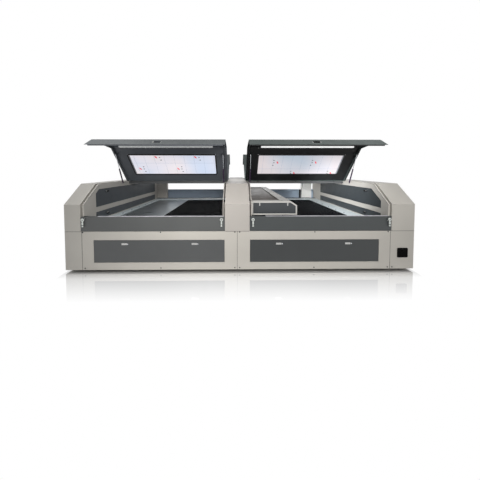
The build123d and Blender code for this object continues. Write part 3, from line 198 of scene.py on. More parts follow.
def paint(name, colour, rough=0.42, vary=0.05, peel=0.25, dust=0.0, specular=0.45, inside=None):
    """Powder coat: faint cloudy tone, orange peel, handling marks, dust low down.

    inside is a direction and a colour of painted shading: faces turned that way take that colour.
    """
    g = Graph(name)
    cloud = g.noise(1.6, detail=4.0, rough=0.6, seed=3.1)
    base = g.ramp(cloud, [(0.32, scaled(colour, 1 - vary)), (0.68, scaled(colour, 1 + vary))])
    streak = g.noise(5.0, rough=0.6, stretch=(1.0, 1.0, 0.14), seed=7.7)
    base = g.mix(g.span(streak, (0.55, 0.75), (0.0, 0.10)), base, scaled(colour, 0.72))
    scuff = g.noise(60.0, detail=2.0, rough=0.7, stretch=(0.25, 0.25, 1.6), seed=1.7)
    base = g.mix(g.span(scuff, (0.70, 0.80), (0.0, 0.22)), base, scaled(colour, 1.25))
    if dust:
        low = g.span(g.axis("Z"), (0.02, 0.34), (1.0, 0.0))
        patchy = g.span(cloud, (0.3, 0.7), (0.35, 1.0))
        dirt = g.math("MULTIPLY", low, patchy, clamp=True)
        base = g.mix(g.math("MULTIPLY", dirt, dust), base, srgb(112, 104, 94))
    # Painted shading: faces turned the given way take another colour, standing in for how light
    # falls on them.
    if inside:
        way, tone = inside
        dot = g.new("ShaderNodeVectorMath")
        dot.operation = "DOT_PRODUCT"
        g.link(g.coord.outputs["Normal"], dot.inputs[0])
        dot.inputs[1].default_value = way
        base = g.mix(g.span(dot.outputs["Value"], (0.05, 0.25), (0.0, 1.0)), base, tone)
    g.link(base, g.bsdf.inputs["Base Color"])
    sheen = g.span(g.noise(9.0, seed=5.2), (0.3, 0.7), (rough - 0.06, rough + 0.09))
    g.link(sheen, g.bsdf.inputs["Roughness"])
    g.bump(g.noise(420.0, detail=2.0, rough=0.5), peel, 0.0006)
    g.set(Specular_IOR_Level=specular)
    return g.mat


def metal(name, colour, rough=0.3, grain=(1.0, 40.0, 40.0), vary=0.08, strength=0.15, marks=0.2):
    """Bare metal with drawn grain, faint stains and fine marks."""
    g = Graph(name)
    brush = g.noise(14.0, detail=4.0, rough=0.65, stretch=grain, seed=2.3)
    stain = g.noise(3.2, detail=4.0, rough=0.6, seed=8.1)
    base = g.ramp(stain, [(0.3, scaled(colour, 1 - vary)), (0.7, scaled(colour, 1 + vary))])
    base = g.mix(g.span(brush, (0.35, 0.75), (0.0, marks)), base, scaled(colour, 0.6))
    g.link(base, g.bsdf.inputs["Base Color"])
    sheen = g.span(brush, (0.3, 0.7), (rough - 0.08, rough + 0.12))
    g.link(sheen, g.bsdf.inputs["Roughness"])
    g.bump(brush, strength, 0.0004)
    g.set(Metallic=1.0)
    return g.mat


def plastic(name, colour, rough=0.5, grain=260.0, strength=0.3, glow=0.0, specular=None):
    """Moulded plastic or rubber with a fine grain and rubbed spots."""
    g = Graph(name)
    cloud = g.noise(11.0, rough=0.6, seed=4.4)
    base = g.ramp(cloud, [(0.3, scaled(colour, 0.82)), (0.7, scaled(colour, 1.22))])
    g.link(base, g.bsdf.inputs["Base Color"])
    sheen = g.span(cloud, (0.3, 0.7), (rough - 0.08, rough + 0.10))
    g.link(sheen, g.bsdf.inputs["Roughness"])
    g.bump(g.noise(grain, detail=2.0, rough=0.6), strength, 0.0004)
    # Painted glow: the colour is also emitted, with no lamp behind it.
    if glow:
        g.link(base, g.bsdf.inputs["Emission Color"])
        g.set(Emission_Strength=glow)
    if specular is not None:
        g.set(Specular_IOR_Level=specular)
    return g.mat


CASING = srgb(184, 181, 174)
casing = paint("casing_paint", CASING, 0.46, vary=0.03, dust=0.10)
casing_upper = paint("casing_paint_upper", CASING, 0.44, vary=0.03)
# The middle cover's casing colour is a darker copy of the casing: painted shade.
casing_middle_painted_shade = paint("casing_paint_middle_painted_shade", srgb(172, 168, 163), 0.44, vary=0.03)
slate = paint("slate_paint", srgb(73, 75, 76), 0.40)
# A darker copy of the slate for the right lower door: painted shade.
slate_painted_shade = paint("slate_paint_painted_shade", srgb(50, 53, 54), 0.36)
band_paint = paint("band_paint", srgb(79, 81, 81), 0.38)
# A darker copy of the band paint for the right drop band: painted shade.
band_painted_shade = paint("band_paint_painted_shade", srgb(61, 65, 66), 0.36)
liner_left = paint("slate_paint_inner", srgb(74, 79, 83), 0.45, vary=0.06)
# A darker copy of the liner paint for the right liners: painted shade.
liner_right_painted_shade = paint("liner_paint_painted_shade", srgb(56, 61, 64), 0.42, vary=0.06)
# The rear upper panels' light bluish colour is painted light and a painted bluish reflection.
rear_panel_painted_light = paint("rear_panel_paint_painted_light", srgb(160, 176, 192), 0.42)
gantry_top = paint("gantry_top_paint", srgb(76, 69, 64), 0.42, vary=0.06, peel=0.2)
gantry_white = paint("gantry_cover_paint", srgb(196, 196, 192), 0.40, vary=0.03, peel=0.2)
gantry_dark = paint("gantry_end_paint", srgb(56, 60, 63), 0.42, peel=0.2)
white_paint = paint("corner_paint", srgb(222, 222, 218), 0.42, vary=0.03, peel=0.2)
# The bed frame and rail beams are painted lighter: painted light and reflection from the windows.
bed_frame_painted_light = paint("bed_frame_paint_painted_light", srgb(202, 212, 214), 0.36, peel=0.2)
strut_black = paint("strut_black", srgb(52, 36, 60), 0.30, vary=0.12, peel=0.08)

ROUND = (30.0, 30.0, 3.0)
plate_metal = metal("parking_plate_metal", srgb(144, 152, 158), 0.30, (1.0, 26.0, 26.0),
                    vary=0.10, strength=0.12, marks=0.25)
slat_metal = metal("slat_metal", srgb(150, 152, 152), 0.35, (20.0, 1.0, 20.0),
                   vary=0.10, strength=0.12, marks=0.3)
bolt_dark = metal("bolt_dark", srgb(64, 66, 68), 0.40, ROUND,
                  vary=0.06, strength=0.08, marks=0.15)
rail_metal = metal("rail_metal", srgb(170, 172, 174), 0.22, (1.0, 60.0, 60.0),
                   vary=0.05, strength=0.08, marks=0.2)
chrome = metal("rod_chrome", srgb(206, 208, 212), 0.12, (40.0, 40.0, 2.0),
               vary=0.03, strength=0.05, marks=0.08)
zinc_light = metal("latch_light_zinc", srgb(196, 200, 196), 0.36, ROUND,
                   vary=0.05, strength=0.08, marks=0.10)
zinc = metal("latch_zinc", srgb(186, 186, 184), 0.28, ROUND,
             vary=0.06, strength=0.08, marks=0.15)
aluminium = metal("beam_aluminium", srgb(172, 174, 176), 0.36, (60.0, 1.0, 60.0),
                  vary=0.05, strength=0.10, marks=0.18)
comb_black = metal("honeycomb_black", srgb(44, 46, 49), 0.42, (30.0, 30.0, 1.0),
                   vary=0.18, strength=0.15, marks=0.35)

black_plastic = plastic("black_plastic", srgb(12, 12, 13))
grille_black = plastic("grille_black", srgb(3, 3, 3), 0.7, specular=0.05)
rubber = plastic("black_rubber", srgb(26, 26, 27), 0.62, 420.0, 0.4)
joint_dark = plastic("joint_shadow", srgb(52, 51, 49), 0.7)
# The film prints glow as painted light, as if lit through the window.
print_grey = plastic("print_grey", srgb(64, 74, 82), glow=0.15)
print_red = plastic("print_red", srgb(214, 84, 92), glow=0.55)
grid_grey = plastic("print_grid", srgb(132, 148, 168), glow=0.4)
margin_grey = plastic("film_margin", srgb(140, 143, 150))
pull_grey = plastic("pull_grey", srgb(176, 180, 178))
# A pale colour for a strip on the band tops: painted highlight.
band_edge_painted_highlight = plastic("band_edge_highlight_paint", srgb(196, 196, 202), 0.6, 180.0, 0.2)

# Lid paint by bay: outside, painted shading of the inner side (lighter than the outside in the
# left bay, darker in the right), specular level
LID_COLOURS = {
    "left": (srgb(86, 92, 94), srgb(90, 94, 100), 0.42),
    "right": (srgb(76, 86, 84), srgb(31, 32, 33), 0.25),
}
# Film colours by bay, from bluish to warm: the patches are painted soft reflections, lighter in
# the left bay as painted light.
FILM_TONES = {
    "left": ((160, 170, 186), (176, 176, 184), (188, 180, 180)),
    "right": ((146, 154, 164), (162, 162, 168), (170, 164, 166)),
}


def lid_material(place, bay):
    """Slate outside; the inner side takes painted shading, a colour of its own on faces turned
    inwards.
    """
    angle, way = OPEN[place], OUTWARD[place]
    inward = Vector((0, way * sin(angle), -cos(angle)))
    back = Vector((0, -way * cos(angle), -sin(angle)))
    towards = (inward + back * 0.9).normalized()
    outside, inner_painted_shading, specular = LID_COLOURS[bay]
    return paint(f"lid_paint_{place}_{bay}", outside, 0.40, specular=specular,
                 inside=(tuple(towards), inner_painted_shading))


def window_material(bay):
    """A clear sheet under pale protective film, with cloudy colour patches as painted soft
    reflections and a painted glow standing in for light from behind.
    """
    g = Graph("window_film_" + bay)
    cloud = g.noise(0.9, detail=2.0, rough=0.45, seed=2.0)
    stops = [(at, srgb(*tone)) for at, tone in zip((0.38, 0.5, 0.62), FILM_TONES[bay])]
    base = g.ramp(cloud, stops)
    g.link(base, g.bsdf.inputs["Base Color"])
    # Painted glow: the film's colour is emitted as well.
    g.link(base, g.bsdf.inputs["Emission Color"])
    haze = g.noise(5.0, rough=0.6, stretch=(0.5, 1.0, 1.6), seed=6.0)
    g.link(g.span(haze, (0.3, 0.7), (0.38, 0.52)), g.bsdf.inputs["Roughness"])
    g.link(g.span(cloud, (0.3, 0.7), (0.90, 0.84)), g.bsdf.inputs["Alpha"])
    g.bump(haze, 0.06, 0.001)
    g.set(Specular_IOR_Level=0.2, Emission_Strength=1.22)
    return g.mat


def lamp_material(name, strength):
    """Opal lens with faint bands."""
    g = Graph(name)
    bands = g.noise(3.0, detail=2.0, rough=0.5, stretch=(6.0, 1.0, 1.0))
    base = g.ramp(bands, [(0.3, srgb(226, 228, 228)), (0.7, srgb(240, 241, 240))])
    g.link(base, g.bsdf.inputs["Base Color"])
    g.link(base, g.bsdf.inputs["Emission Color"])
    g.bump(bands, 0.1, 0.001)
    g.set(Roughness=0.35, Emission_Strength=strength)
    return g.mat


def dress(material, *names):
    """Give CAD nodes a material in each of their slots."""
    for name in names:
        data = nodes[name].data
        if not data.materials:
            data.materials.append(material)
        for i in range(len(data.materials)):
            data.materials[i] = material


dress(casing, "base_left", "base_right", "left_end_base", "right_end_base")
dress(casing_upper, "left_end_cover", "right_end_cover", "rear_left_corner_cover")
dress(casing_middle_painted_shade, "middle_cover")
dress(band_paint, "left_drop_band")
dress(band_painted_shade, "right_drop_band")
dress(slate, "left_lower_door", "left_hinge_beam", "right_hinge_beam", "rear_lower_panels")
dress(slate_painted_shade, "right_lower_door")
dress(liner_left, "left_liners")
dress(liner_right_painted_shade, "right_liners")
dress(rear_panel_painted_light, "rear_upper_panels")
dress(white_paint, "rear_right_housing")
dress(bed_frame_painted_light, "bed_frame", "rail_beams")
dress(plate_metal, "parking_plate")
dress(slat_metal, "support_slats")
dress(rail_metal, "linear_rails")
dress(comb_black, "honeycomb_panel")
dress(zinc, "band_keepers")
dress(grille_black, "fan_grille")
dress(black_plastic, "housing_hose")
dress(rubber, "levelling_feet")
dress(gantry_white, "gantry_cover")
dress(gantry_dark, "gantry_end_panels")
dress(gantry_top, "gantry_top_cover")
dress(aluminium, "gantry_beam", "laser_head")
films = {bay: window_material(bay) for bay in BAYS}
for place, bay in LIDS:
    dress(lid_material(place, bay), f"{place}_{bay}_lid")
    dress(films[bay], f"{place}_{bay}_window")
    dress(strut_black, f"{place}_{bay}_strut_cylinders")
    dress(chrome, f"{place}_{bay}_strut_rods")
dress(lamp_material("lamp_dim", 0.22), "left_lamp")
dress(lamp_material("lamp_lit", 0.9), "right_lamp")
for bay in BAYS:
    for number in (1, 2):
        dress(zinc, f"{bay}_band_latch_{number}", f"{bay}_door_paddle_{number}")


# Mesh helpers
SHARP_ANGLE = radians(35)


def build(name, mesh_maker, material, body, smooth=False):
    """One new piece from a bmesh, riding on a body."""
    bm = bmesh.new()
    mesh_maker(bm)
    data = bpy.data.meshes.new(name)
    bmesh.ops.recalc_face_normals(bm, faces=bm.faces)
    bm.to_mesh(data)
    bm.free()
    data.materials.append(material)
    if smooth:
        data.polygons.foreach_set("use_smooth", [True] * len(data.polygons))
        data.set_sharp_from_angle(angle=SHARP_ANGLE)
    obj = bpy.data.objects.new(name, data)
    scene.collection.objects.link(obj)
    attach(obj, body)
    return obj


def add_box(bm, low, high, matrix=None, bevel=0.0):
    """A box between two corners, with softened edges if bevel is given."""
    made = bmesh.ops.create_cube(bm, size=1.0)["verts"]
    low, high = Vector(low), Vector(high)
    size, centre = high - low, (high + low) / 2
    for v in made:
        v.co = Vector((v.co.x * size.x, v.co.y * size.y, v.co.z * size.z)) + centre
    if bevel:
        edges = list({e for v in made for e in v.link_edges})
        out = bmesh.ops.bevel(bm, geom=edges, offset=bevel, segments=2,
                              affect="EDGES", profile=0.6)
        made = list({v for f in out["faces"] for v in f.verts} | {v for v in made if v.is_valid})
    if matrix:
        for v in made:
            v.co = matrix @ v.co


def facing(origin, normal):
    """A matrix whose local Z is the normal and whose Y is roughly up."""
    z = Vector(normal).normalized()
    y = Vector(UP)
    if abs(z.dot(y)) > 0.98:
        y = Vector((0, 1, 0))
    x = y.cross(z).normalized()
    y = z.cross(x)
    return Matrix.Translation(Vector(origin)) @ Matrix((x, y, z)).transposed().to_4x4()


def add_turned(bm, matrix, profile, segments=16, cap=True):
    """A turned form about the matrix's Z: profile is radius and height."""
    rings = []
    for radius, height in profile:
        if radius < 1e-6:
            rings.append([bm.verts.new(matrix @ Vector((0, 0, height)))])
            continue
        turned = []
        for i in range(segments):
            angle = 2 * pi * i / segments
            point = Vector((radius * cos(angle), radius * sin(angle), height))
            turned.append(bm.verts.new(matrix @ point))
        rings.append(turned)
    for a, b in zip(rings, rings[1:]):
        for i in range(segments):
            j = (i + 1) % segments
            if len(b) == 1:
                bm.faces.new((a[i], a[j], b[0]))
            else:
                bm.faces.new((a[i], a[j], b[j], b[i]))
    if cap:
        for end in (rings[0], rings[-1]):
            if len(end) > 2:
                bm.faces.new(end)


def screws(name, places, radius, material, body):
    """Pan heads with a socket, one piece for a whole group."""
    head = [(1.0, 0.0), (1.0, 0.25), (0.72, 0.55), (0.42, 0.62), (0.40, 0.25), (0.0, 0.25)]
    profile = [(radius * across, radius * height) for across, height in head]

    def make(bm):
        for origin, normal in places:
            add_turned(bm, facing(origin, normal), profile, 10, cap=False)
    return build(name, make, material, body, smooth=True)


def steps(start, stop, step):
    """Places one step apart, from start to short of stop."""
    while start < stop:
        yield start
        start += step


# Honeycomb bed: open hexagonal cells in the panel's place
CELL_PITCH, CELL_WALL, CELL_DEPTH = 0.0268, 0.0011, 0.028
COMB_RIM = 0.012
WALL_LIP = 0.0004
comb_low, comb_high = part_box("honeycomb_panel")


def honeycomb(bm):
    """A solid rim, and cell walls as upright sheets with a flat strip on top."""
    low, high = Vector(comb_low), Vector(comb_high)
    top, bottom = high.z, high.z - CELL_DEPTH
    x0, x1 = low.x + COMB_RIM, high.x - COMB_RIM
    y0, y1 = low.y + COMB_RIM, high.y - COMB_RIM
    side = CELL_PITCH / 3 ** 0.5
    for row in range(int((y1 - y0) / (1.5 * side)) + 1):
        cy = y0 + row * 1.5 * side
        shift = CELL_PITCH / 2 if row % 2 else 0.0
        for column in range(int((x1 - x0 - shift) / CELL_PITCH) + 1):
            cx = x0 + shift + column * CELL_PITCH
            corner = [(cx + side * sin(k * pi / 3), cy + side * cos(k * pi / 3)) for k in range(6)]
            # Three walls a cell, since the cells beside it make the others
            for k in (0, 1, 5):
                (ax, ay), (bx, by) = corner[k], corner[(k + 1) % 6]
                if max(ax, bx) > x1 or max(ay, by) > y1 or min(ax, bx) < x0 or min(ay, by) < y0:
                    continue
                length = hypot(bx - ax, by - ay)
                nx = -(by - ay) / length * CELL_WALL / 2
                ny = (bx - ax) / length * CELL_WALL / 2
                sheet = ((ax, ay, bottom), (bx, by, bottom),
                         (bx, by, top - WALL_LIP), (ax, ay, top - WALL_LIP))
                bm.faces.new([bm.verts.new(point) for point in sheet])
                strip = ((ax - nx, ay - ny, top), (bx - nx, by - ny, top),
                         (bx + nx, by + ny, top), (ax + nx, ay + ny, top))
                bm.faces.new([bm.verts.new(point) for point in strip])
    rims = (
        ((low.x, low.y), (high.x, y0)),
        ((low.x, y1), (high.x, high.y)),
        ((low.x, y0), (x0, y1)),
        ((x1, y0), (high.x, y1)),
    )
    for a, b in rims:
        add_box(bm, (a[0], a[1], low.z), (b[0], b[1], high.z))


cells = build("honeycomb_cells", honeycomb, comb_black, "machine_body")
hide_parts("honeycomb_panel")


def seams(bm):
    """Joints between the casings, shown as narrow dark lines."""
    proud = 0.0006
    half = 0.0022
    for x in (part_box("left_end_base")[1].x, SEAM_X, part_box("right_end_base")[0].x):
        add_box(bm, (x - half, FRONT - proud, FLOOR_GAP), (x + half, FRONT, SEAM_Z))
        add_box(bm, (x - half, REAR, FLOOR_GAP), (x + half, REAR + proud, SEAM_Z))
    spans = ((LEFT, LEFT_BAY[0]), (LEFT_BAY[1], RIGHT_BAY[0]), (RIGHT_BAY[1], RIGHT))
    for low, high in spans:
        add_box(bm, (low, FRONT - proud, SEAM_Z - half), (high, FRONT, SEAM_Z + half))
        add_box(bm, (low, REAR, SEAM_Z - half), (high, REAR + proud, SEAM_Z + half))
    for x in (LEFT - proud, RIGHT):
        add_box(bm, (x, FRONT, SEAM_Z - half), (x + proud, REAR, SEAM_Z + half))


build("casing_seams", seams, joint_dark, "machine_body")

# Fascia screws: their X in the upper row, and in the row along the floor
FASCIA_ROWS = (
    (0.572, (-2.247, -1.145, -0.086, -0.017, 1.062, 2.122)),
    (0.055, (-2.223, -0.017, 1.055, 2.122, 2.190, -0.086, -1.145)),
)
FASCIA_SCREW_RADIUS = 0.009
fascia = [((x, FRONT, z), AHEAD) for z, row in FASCIA_ROWS for x in row]
screws("fascia_screws", fascia, FASCIA_SCREW_RADIUS, bolt_dark, "machine_body")


def lid_matrix(place):
    """Lid coordinates to the frame: x along the machine, y out from the hinge, z inwards."""
    angle, way = OPEN[place], OUTWARD[place]
    along = Vector((1, 0, 0))
    out = Vector((0, way * cos(angle), sin(angle)))
    inward = Vector((0, way * sin(angle), -cos(angle)))
    m = Matrix((along, out, inward)).transposed().to_4x4()
    return Matrix.Translation((0, HINGE_Y[place], HINGE_Z)) @ m


def window_x(bay):
    """X limits of a lid's window opening."""
    low, high = BAYS[bay]
    if bay == "left":
        return (low + END_MARGIN, high - MIDDLE_MARGIN)
    return (low + MIDDLE_MARGIN, high - END_MARGIN)


def ring(bm, matrix, x, y, radius, width, z, thick, arc_steps=5):
    """A rounded rectangular frame of rectangular section."""
    def loop(inset, height):
        r = max(radius - inset, 0.001)
        right, left = x[1] - inset - r, x[0] + inset + r
        top, bottom = y[1] - inset - r, y[0] + inset + r
        corners = ((right, top, 0), (left, top, 90), (left, bottom, 180), (right, bottom, 270))
        points = []
        for cx, cy, start in corners:
            for k in range(arc_steps + 1):
                t = radians(start + 90 * k / arc_steps)
                point = Vector((cx + r * cos(t), cy + r * sin(t), height))
                points.append(bm.verts.new(matrix @ point))
        return points
    loops = [loop(0, z), loop(0, z + thick), loop(width, z + thick), loop(width, z)]
    count = len(loops[0])
    for a, b in zip(loops, loops[1:] + loops[:1]):
        for i in range(count):
            j = (i + 1) % count
            bm.faces.new((a[i], a[j], b[j], b[i]))


# Window seals: growth past the opening, corner radius, width, lid Z and thickness
SEALS = (
    (0.011, 0.025, 0.012, -0.0125, 0.0026),
    (0.024, 0.038, 0.026, -0.0065, 0.0065),
)
for place, bay in LIDS:
    x_low, x_high = window_x(bay)

    def seal(bm):
        for grow, radius, width, z, thick in SEALS:
            grown_x = (x_low - grow, x_high + grow)
            grown_y = (WINDOW_Y[0] - grow, WINDOW_Y[1] + grow)
            ring(bm, lid_matrix(place), grown_x, grown_y, radius, width, z, thick)
    build(f"{place}_{bay}_window_seal", seal, rubber, f"{place}_{bay}_lid")


def flat_disc(bm, matrix, centre, half_x, half_y, turn, low, high, segments=14):
    """A thin oval plate in lid coordinates."""
    c, s = cos(turn), sin(turn)
    rings = []
    for z in (low, high):
        points = []
        for k in range(segments):
            t = 2 * pi * k / segments
            x, y = half_x * cos(t), half_y * sin(t)
            point = Vector((centre[0] + x * c - y * s, centre[1] + x * s + y * c, z))
            points.append(bm.verts.new(matrix @ point))
        rings.append(points)
    bm.faces.new(rings[0][::-1])
    bm.faces.new(rings[1])
    for k in range(segments):
        j = (k + 1) % segments
        bm.faces.new((rings[0][k], rings[0][j], rings[1][j], rings[1][k]))


# Film prints: faint grid lines, small red marks and dark dots, without lettering.
# By bay: rows of marks, X of one mark, the long line's Y, side of the dots, tilt of a mark
PRINTS = {
    "left": {"rows": (0.300, 0.558), "anchor": -1.891, "cross": 0.430, "side": 1, "tilt": 0.7},
    "right": {"rows": (0.196, 0.443), "anchor": 1.070, "cross": 0.300, "side": -1, "tilt": 0.55},
}
FILM_FACE, FILM_PROUD = -0.0019, -0.0015
GRID_PROUD = FILM_PROUD - 0.0002
MARK_PITCH, MARK_SHIFT, MARK_MARGIN = 0.72, 0.36, 0.06
MARK_SIZE = (0.013, 0.030)
DOT_SIZE = (0.013, 0.009)
DOTS = ((0.046, 0.072), (-0.004, 0.066), (-0.062, 0.080))
DOT_LIMITS = (0.19, 0.585)
GRID_PITCH, GRID_HALF = 0.181, 0.0012
GRID_START, GRID_STOP, GRID_END_GAP = 0.09, 0.02, 0.01
for place, bay in LIDS:
    body = f"{place}_{bay}_lid"
    matrix = lid_matrix(place)
    x_low, x_high = window_x(bay)
    prints = PRINTS[bay]
    lower, upper = prints["rows"]
    marks = []
    for k in range(-3, 4):
        for row, shift in ((lower, 0.0), (upper, MARK_SHIFT)):
            x = prints["anchor"] + (k * MARK_PITCH + shift)
            if x_low + MARK_MARGIN < x < x_high - MARK_MARGIN:
                marks.append((x, row))

    def red(bm):
        for centre in marks:
            flat_disc(bm, matrix, centre, *MARK_SIZE, prints["tilt"], FILM_FACE, FILM_PROUD)

    def dots(bm):
        for x, y in marks:
            for rise, slide in DOTS:
                if DOT_LIMITS[0] < y + rise < DOT_LIMITS[1]:
                    centre = (x + prints["side"] * slide, y + rise)
                    flat_disc(bm, matrix, centre, *DOT_SIZE, 0.0, FILM_FACE, FILM_PROUD, 8)

    def grid(bm):
        for x in steps(x_low + GRID_START, x_high - GRID_STOP, GRID_PITCH):
            add_box(bm, (x - GRID_HALF, FILM_Y[0], FILM_FACE),
                    (x + GRID_HALF, FILM_Y[1], GRID_PROUD), matrix)
        y = prints["cross"]
        add_box(bm, (x_low + GRID_END_GAP, y - GRID_HALF, FILM_FACE),
                (x_high - GRID_END_GAP, y + GRID_HALF, GRID_PROUD), matrix)
    build(body + "_film_marks", red, print_red, body)
    build(body + "_film_dots", dots, print_grey, body)
    build(body + "_film_grid", grid, grid_grey, body)

# Small screws in two rows of each lid, and the film's grey strip at the bay's outer end.
# By row: lid Y, and how far the first screw stands past the window's edge
LID_SCREW_ROWS = ((0.162, 0.050), (0.745, -0.012))
LID_SCREW_PITCH, LID_SCREW_Z, LID_SCREW_RADIUS = 0.372, -0.0070, 0.0062
STRIP_WIDTH = 0.022
STRIP_PROUD = -0.0012
for place, bay in LIDS:
    body = f"{place}_{bay}_lid"
    matrix = lid_matrix(place)
    inward = (matrix.to_3x3() @ Vector((0, 0, 1))).normalized()
    x_low, x_high = window_x(bay)
    spots = []
    for y, shift in LID_SCREW_ROWS:
        for x in steps(x_low + shift, x_high, LID_SCREW_PITCH):
            spots.append((matrix @ Vector((x, y, LID_SCREW_Z)), inward))
    screws(body + "_screws", spots, LID_SCREW_RADIUS, zinc_light, body)

    def margin(bm):
        edge = x_low if bay == "left" else x_high - STRIP_WIDTH
        add_box(bm, (edge, FILM_Y[0], FILM_FACE),
                (edge + STRIP_WIDTH, FILM_Y[1], STRIP_PROUD), matrix)
    build(f"{place}_{bay}_film_margin", margin, margin_grey, body)

# Moulded end pieces inside the front lids' pulls, measured from the lid's edge and middle
PULL_Z = 0.3505
PULL_HALF_HEIGHT = 0.028
PULL_REACH = (0.0675, 0.0555)
PULL_FROM_EDGE = (0.024, 0.0006)
PULL_BEVEL = 0.003
for bay, (low, high) in BAYS.items():
    matrix = lid_matrix("front")
    middle = (low + high) / 2

    def ends(bm):
        for way in (-1, 1):
            a, b = sorted(middle + way * reach for reach in PULL_REACH)
            add_box(bm, (a, LID_LENGTH - PULL_FROM_EDGE[0], PULL_Z - PULL_HALF_HEIGHT),
                    (b, LID_LENGTH - PULL_FROM_EDGE[1], PULL_Z + PULL_HALF_HEIGHT),
                    matrix, PULL_BEVEL)
    build(bay + "_pull_ends", ends, pull_grey, f"front_{bay}_lid")

# Pale strip along the top of each drop band, a painted highlight on its lit top edge: gaps at its
# ends, set-back, height, bevel
BAND_HIGHLIGHT_GAPS = (0.24, 0.02)
BAND_HIGHLIGHT_BACK = (0.004, 0.042)
BAND_HIGHLIGHT_HEIGHT, BAND_HIGHLIGHT_BEVEL = 0.0016, 0.0005
for bay in BAYS:
    low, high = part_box(bay + "_drop_band")

    def strip(bm):
        add_box(bm, (low.x + BAND_HIGHLIGHT_GAPS[0], FRONT + BAND_HIGHLIGHT_BACK[0], high.z),
                (high.x - BAND_HIGHLIGHT_GAPS[1], FRONT + BAND_HIGHLIGHT_BACK[1],
                 high.z + BAND_HIGHLIGHT_HEIGHT), bevel=BAND_HIGHLIGHT_BEVEL)
    build(bay + "_band_edge_highlight", strip, band_edge_painted_highlight, bay + "_drop_band")

# Band latches: a round head with a key hole, a waisted lever, spindle and cam
SPINDLE_DROP, SPINDLE_RADIUS = 0.012, 0.007
LEVER_THICK = 0.013
# Lever, from the head down: half width, set-back, top and bottom from the spindle, bevel
LEVER = (
    (0.0085, 0.003, -0.018, -0.036, 0.002),
    (0.0115, 0.000, -0.034, -0.070, 0.004),
    (0.0085, 0.005, -0.068, -0.080, 0.002),
)
# Its tip ends where the node ends: half width, top, bevel
LEVER_TIP = (0.0115, -0.078, 0.005)
# Head and collar: radii of the rim, of its flat faces behind and in front, and of the collar
HEAD_RADIUS, HEAD_REAR, HEAD_FLAT = 0.0225, 0.020, 0.0205
COLLAR_RADIUS, COLLAR_FOOT = 0.0075, 0.0085
HEAD_BACK, HEAD_EDGE, HEAD_CHAMFER, COLLAR_HEIGHT = 0.009, 0.012, 0.002, 0.005
SPINDLE_REACH = (0.0135, 0.012)
# Cam: half width, set-back of its faces, bottom and top from the spindle, bevel
CAM_HALF, CAM_BACK, CAM_REACH, CAM_BEVEL = 0.005, (0.0095, 0.0135), (0.039, 0.006), 0.0008


def latch_form(low, high):
    """Mesh maker of one latch that hangs in its node's box."""
    x, z = (low.x + high.x) / 2, high.z - SPINDLE_DROP
    outer, inner = low.y, low.y + LEVER_THICK

    def form(bm):
        centre = facing((x, 0.0, z), AHEAD)
        head = [
            (SPINDLE_RADIUS, -FRONT + HEAD_BACK), (HEAD_REAR, -FRONT + HEAD_BACK),
            (HEAD_RADIUS, -FRONT + HEAD_EDGE), (HEAD_RADIUS, -outer - HEAD_CHAMFER),
            (HEAD_FLAT, -outer), (COLLAR_FOOT, -outer),
            (COLLAR_RADIUS, -outer - COLLAR_HEIGHT), (0.0, -outer - COLLAR_HEIGHT),
        ]
        add_turned(bm, centre, head, 24)
        spindle = [(SPINDLE_RADIUS, -FRONT - SPINDLE_REACH[0]),
                   (SPINDLE_RADIUS, -FRONT + SPINDLE_REACH[1])]
        add_turned(bm, centre, spindle, 20)
        for half, back, top, bottom, bevel in LEVER:
            add_box(bm, (x - half, outer + back, z + bottom),
                    (x + half, inner, z + top), bevel=bevel)
        half, top, bevel = LEVER_TIP
        add_box(bm, (x - half, outer, low.z), (x + half, inner, z + top), bevel=bevel)
        add_box(bm, (x - CAM_HALF, FRONT + CAM_BACK[0], z - CAM_REACH[0]),
                (x + CAM_HALF, FRONT + CAM_BACK[1], z + CAM_REACH[1]), bevel=CAM_BEVEL)
    return form


# Marks on the latch: the key hole in its head and the slot at the lever's second waist
HOLE_RADIUS, HOLE_HEIGHT, HOLE_BACK = 0.0074, 0.0012, 0.0045
SLOT_HALF, SLOT_BACK, SLOT_DROP = 0.0085, (0.0046, 0.0056), (0.0776, 0.0704)
RIVET_OFFSET, RIVET_RADIUS, RIVET_PROUD = 0.0175, 0.0026, 0.004
for bay in BAYS:
    for number in (1, 2):
        name = f"{bay}_band_latch_{number}"
        low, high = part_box(name)
        x, z = (low.x + high.x) / 2, high.z - SPINDLE_DROP
        piece = build(name + "_form", latch_form(low, high), zinc_light, name)
        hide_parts(name)

        def hole(bm):
            m = facing((x, low.y + HOLE_BACK, z), AHEAD)
            profile = [(HOLE_RADIUS, 0.0), (HOLE_RADIUS, HOLE_HEIGHT), (0.0, HOLE_HEIGHT)]
            add_turned(bm, m, profile, 18)
            add_box(bm, (x - SLOT_HALF, low.y + SLOT_BACK[0], z - SLOT_DROP[0]),
                    (x + SLOT_HALF, low.y + SLOT_BACK[1], z - SLOT_DROP[1]))
        build(name + "_marks", hole, black_plastic, name)
        offsets = (-RIVET_OFFSET, RIVET_OFFSET)
        rivets = [((x + dx, FRONT - RIVET_PROUD, z + dz), AHEAD)
                  for dx in offsets for dz in offsets]
        screws(name + "_rivets", rivets, RIVET_RADIUS, chrome, bay + "_drop_band")

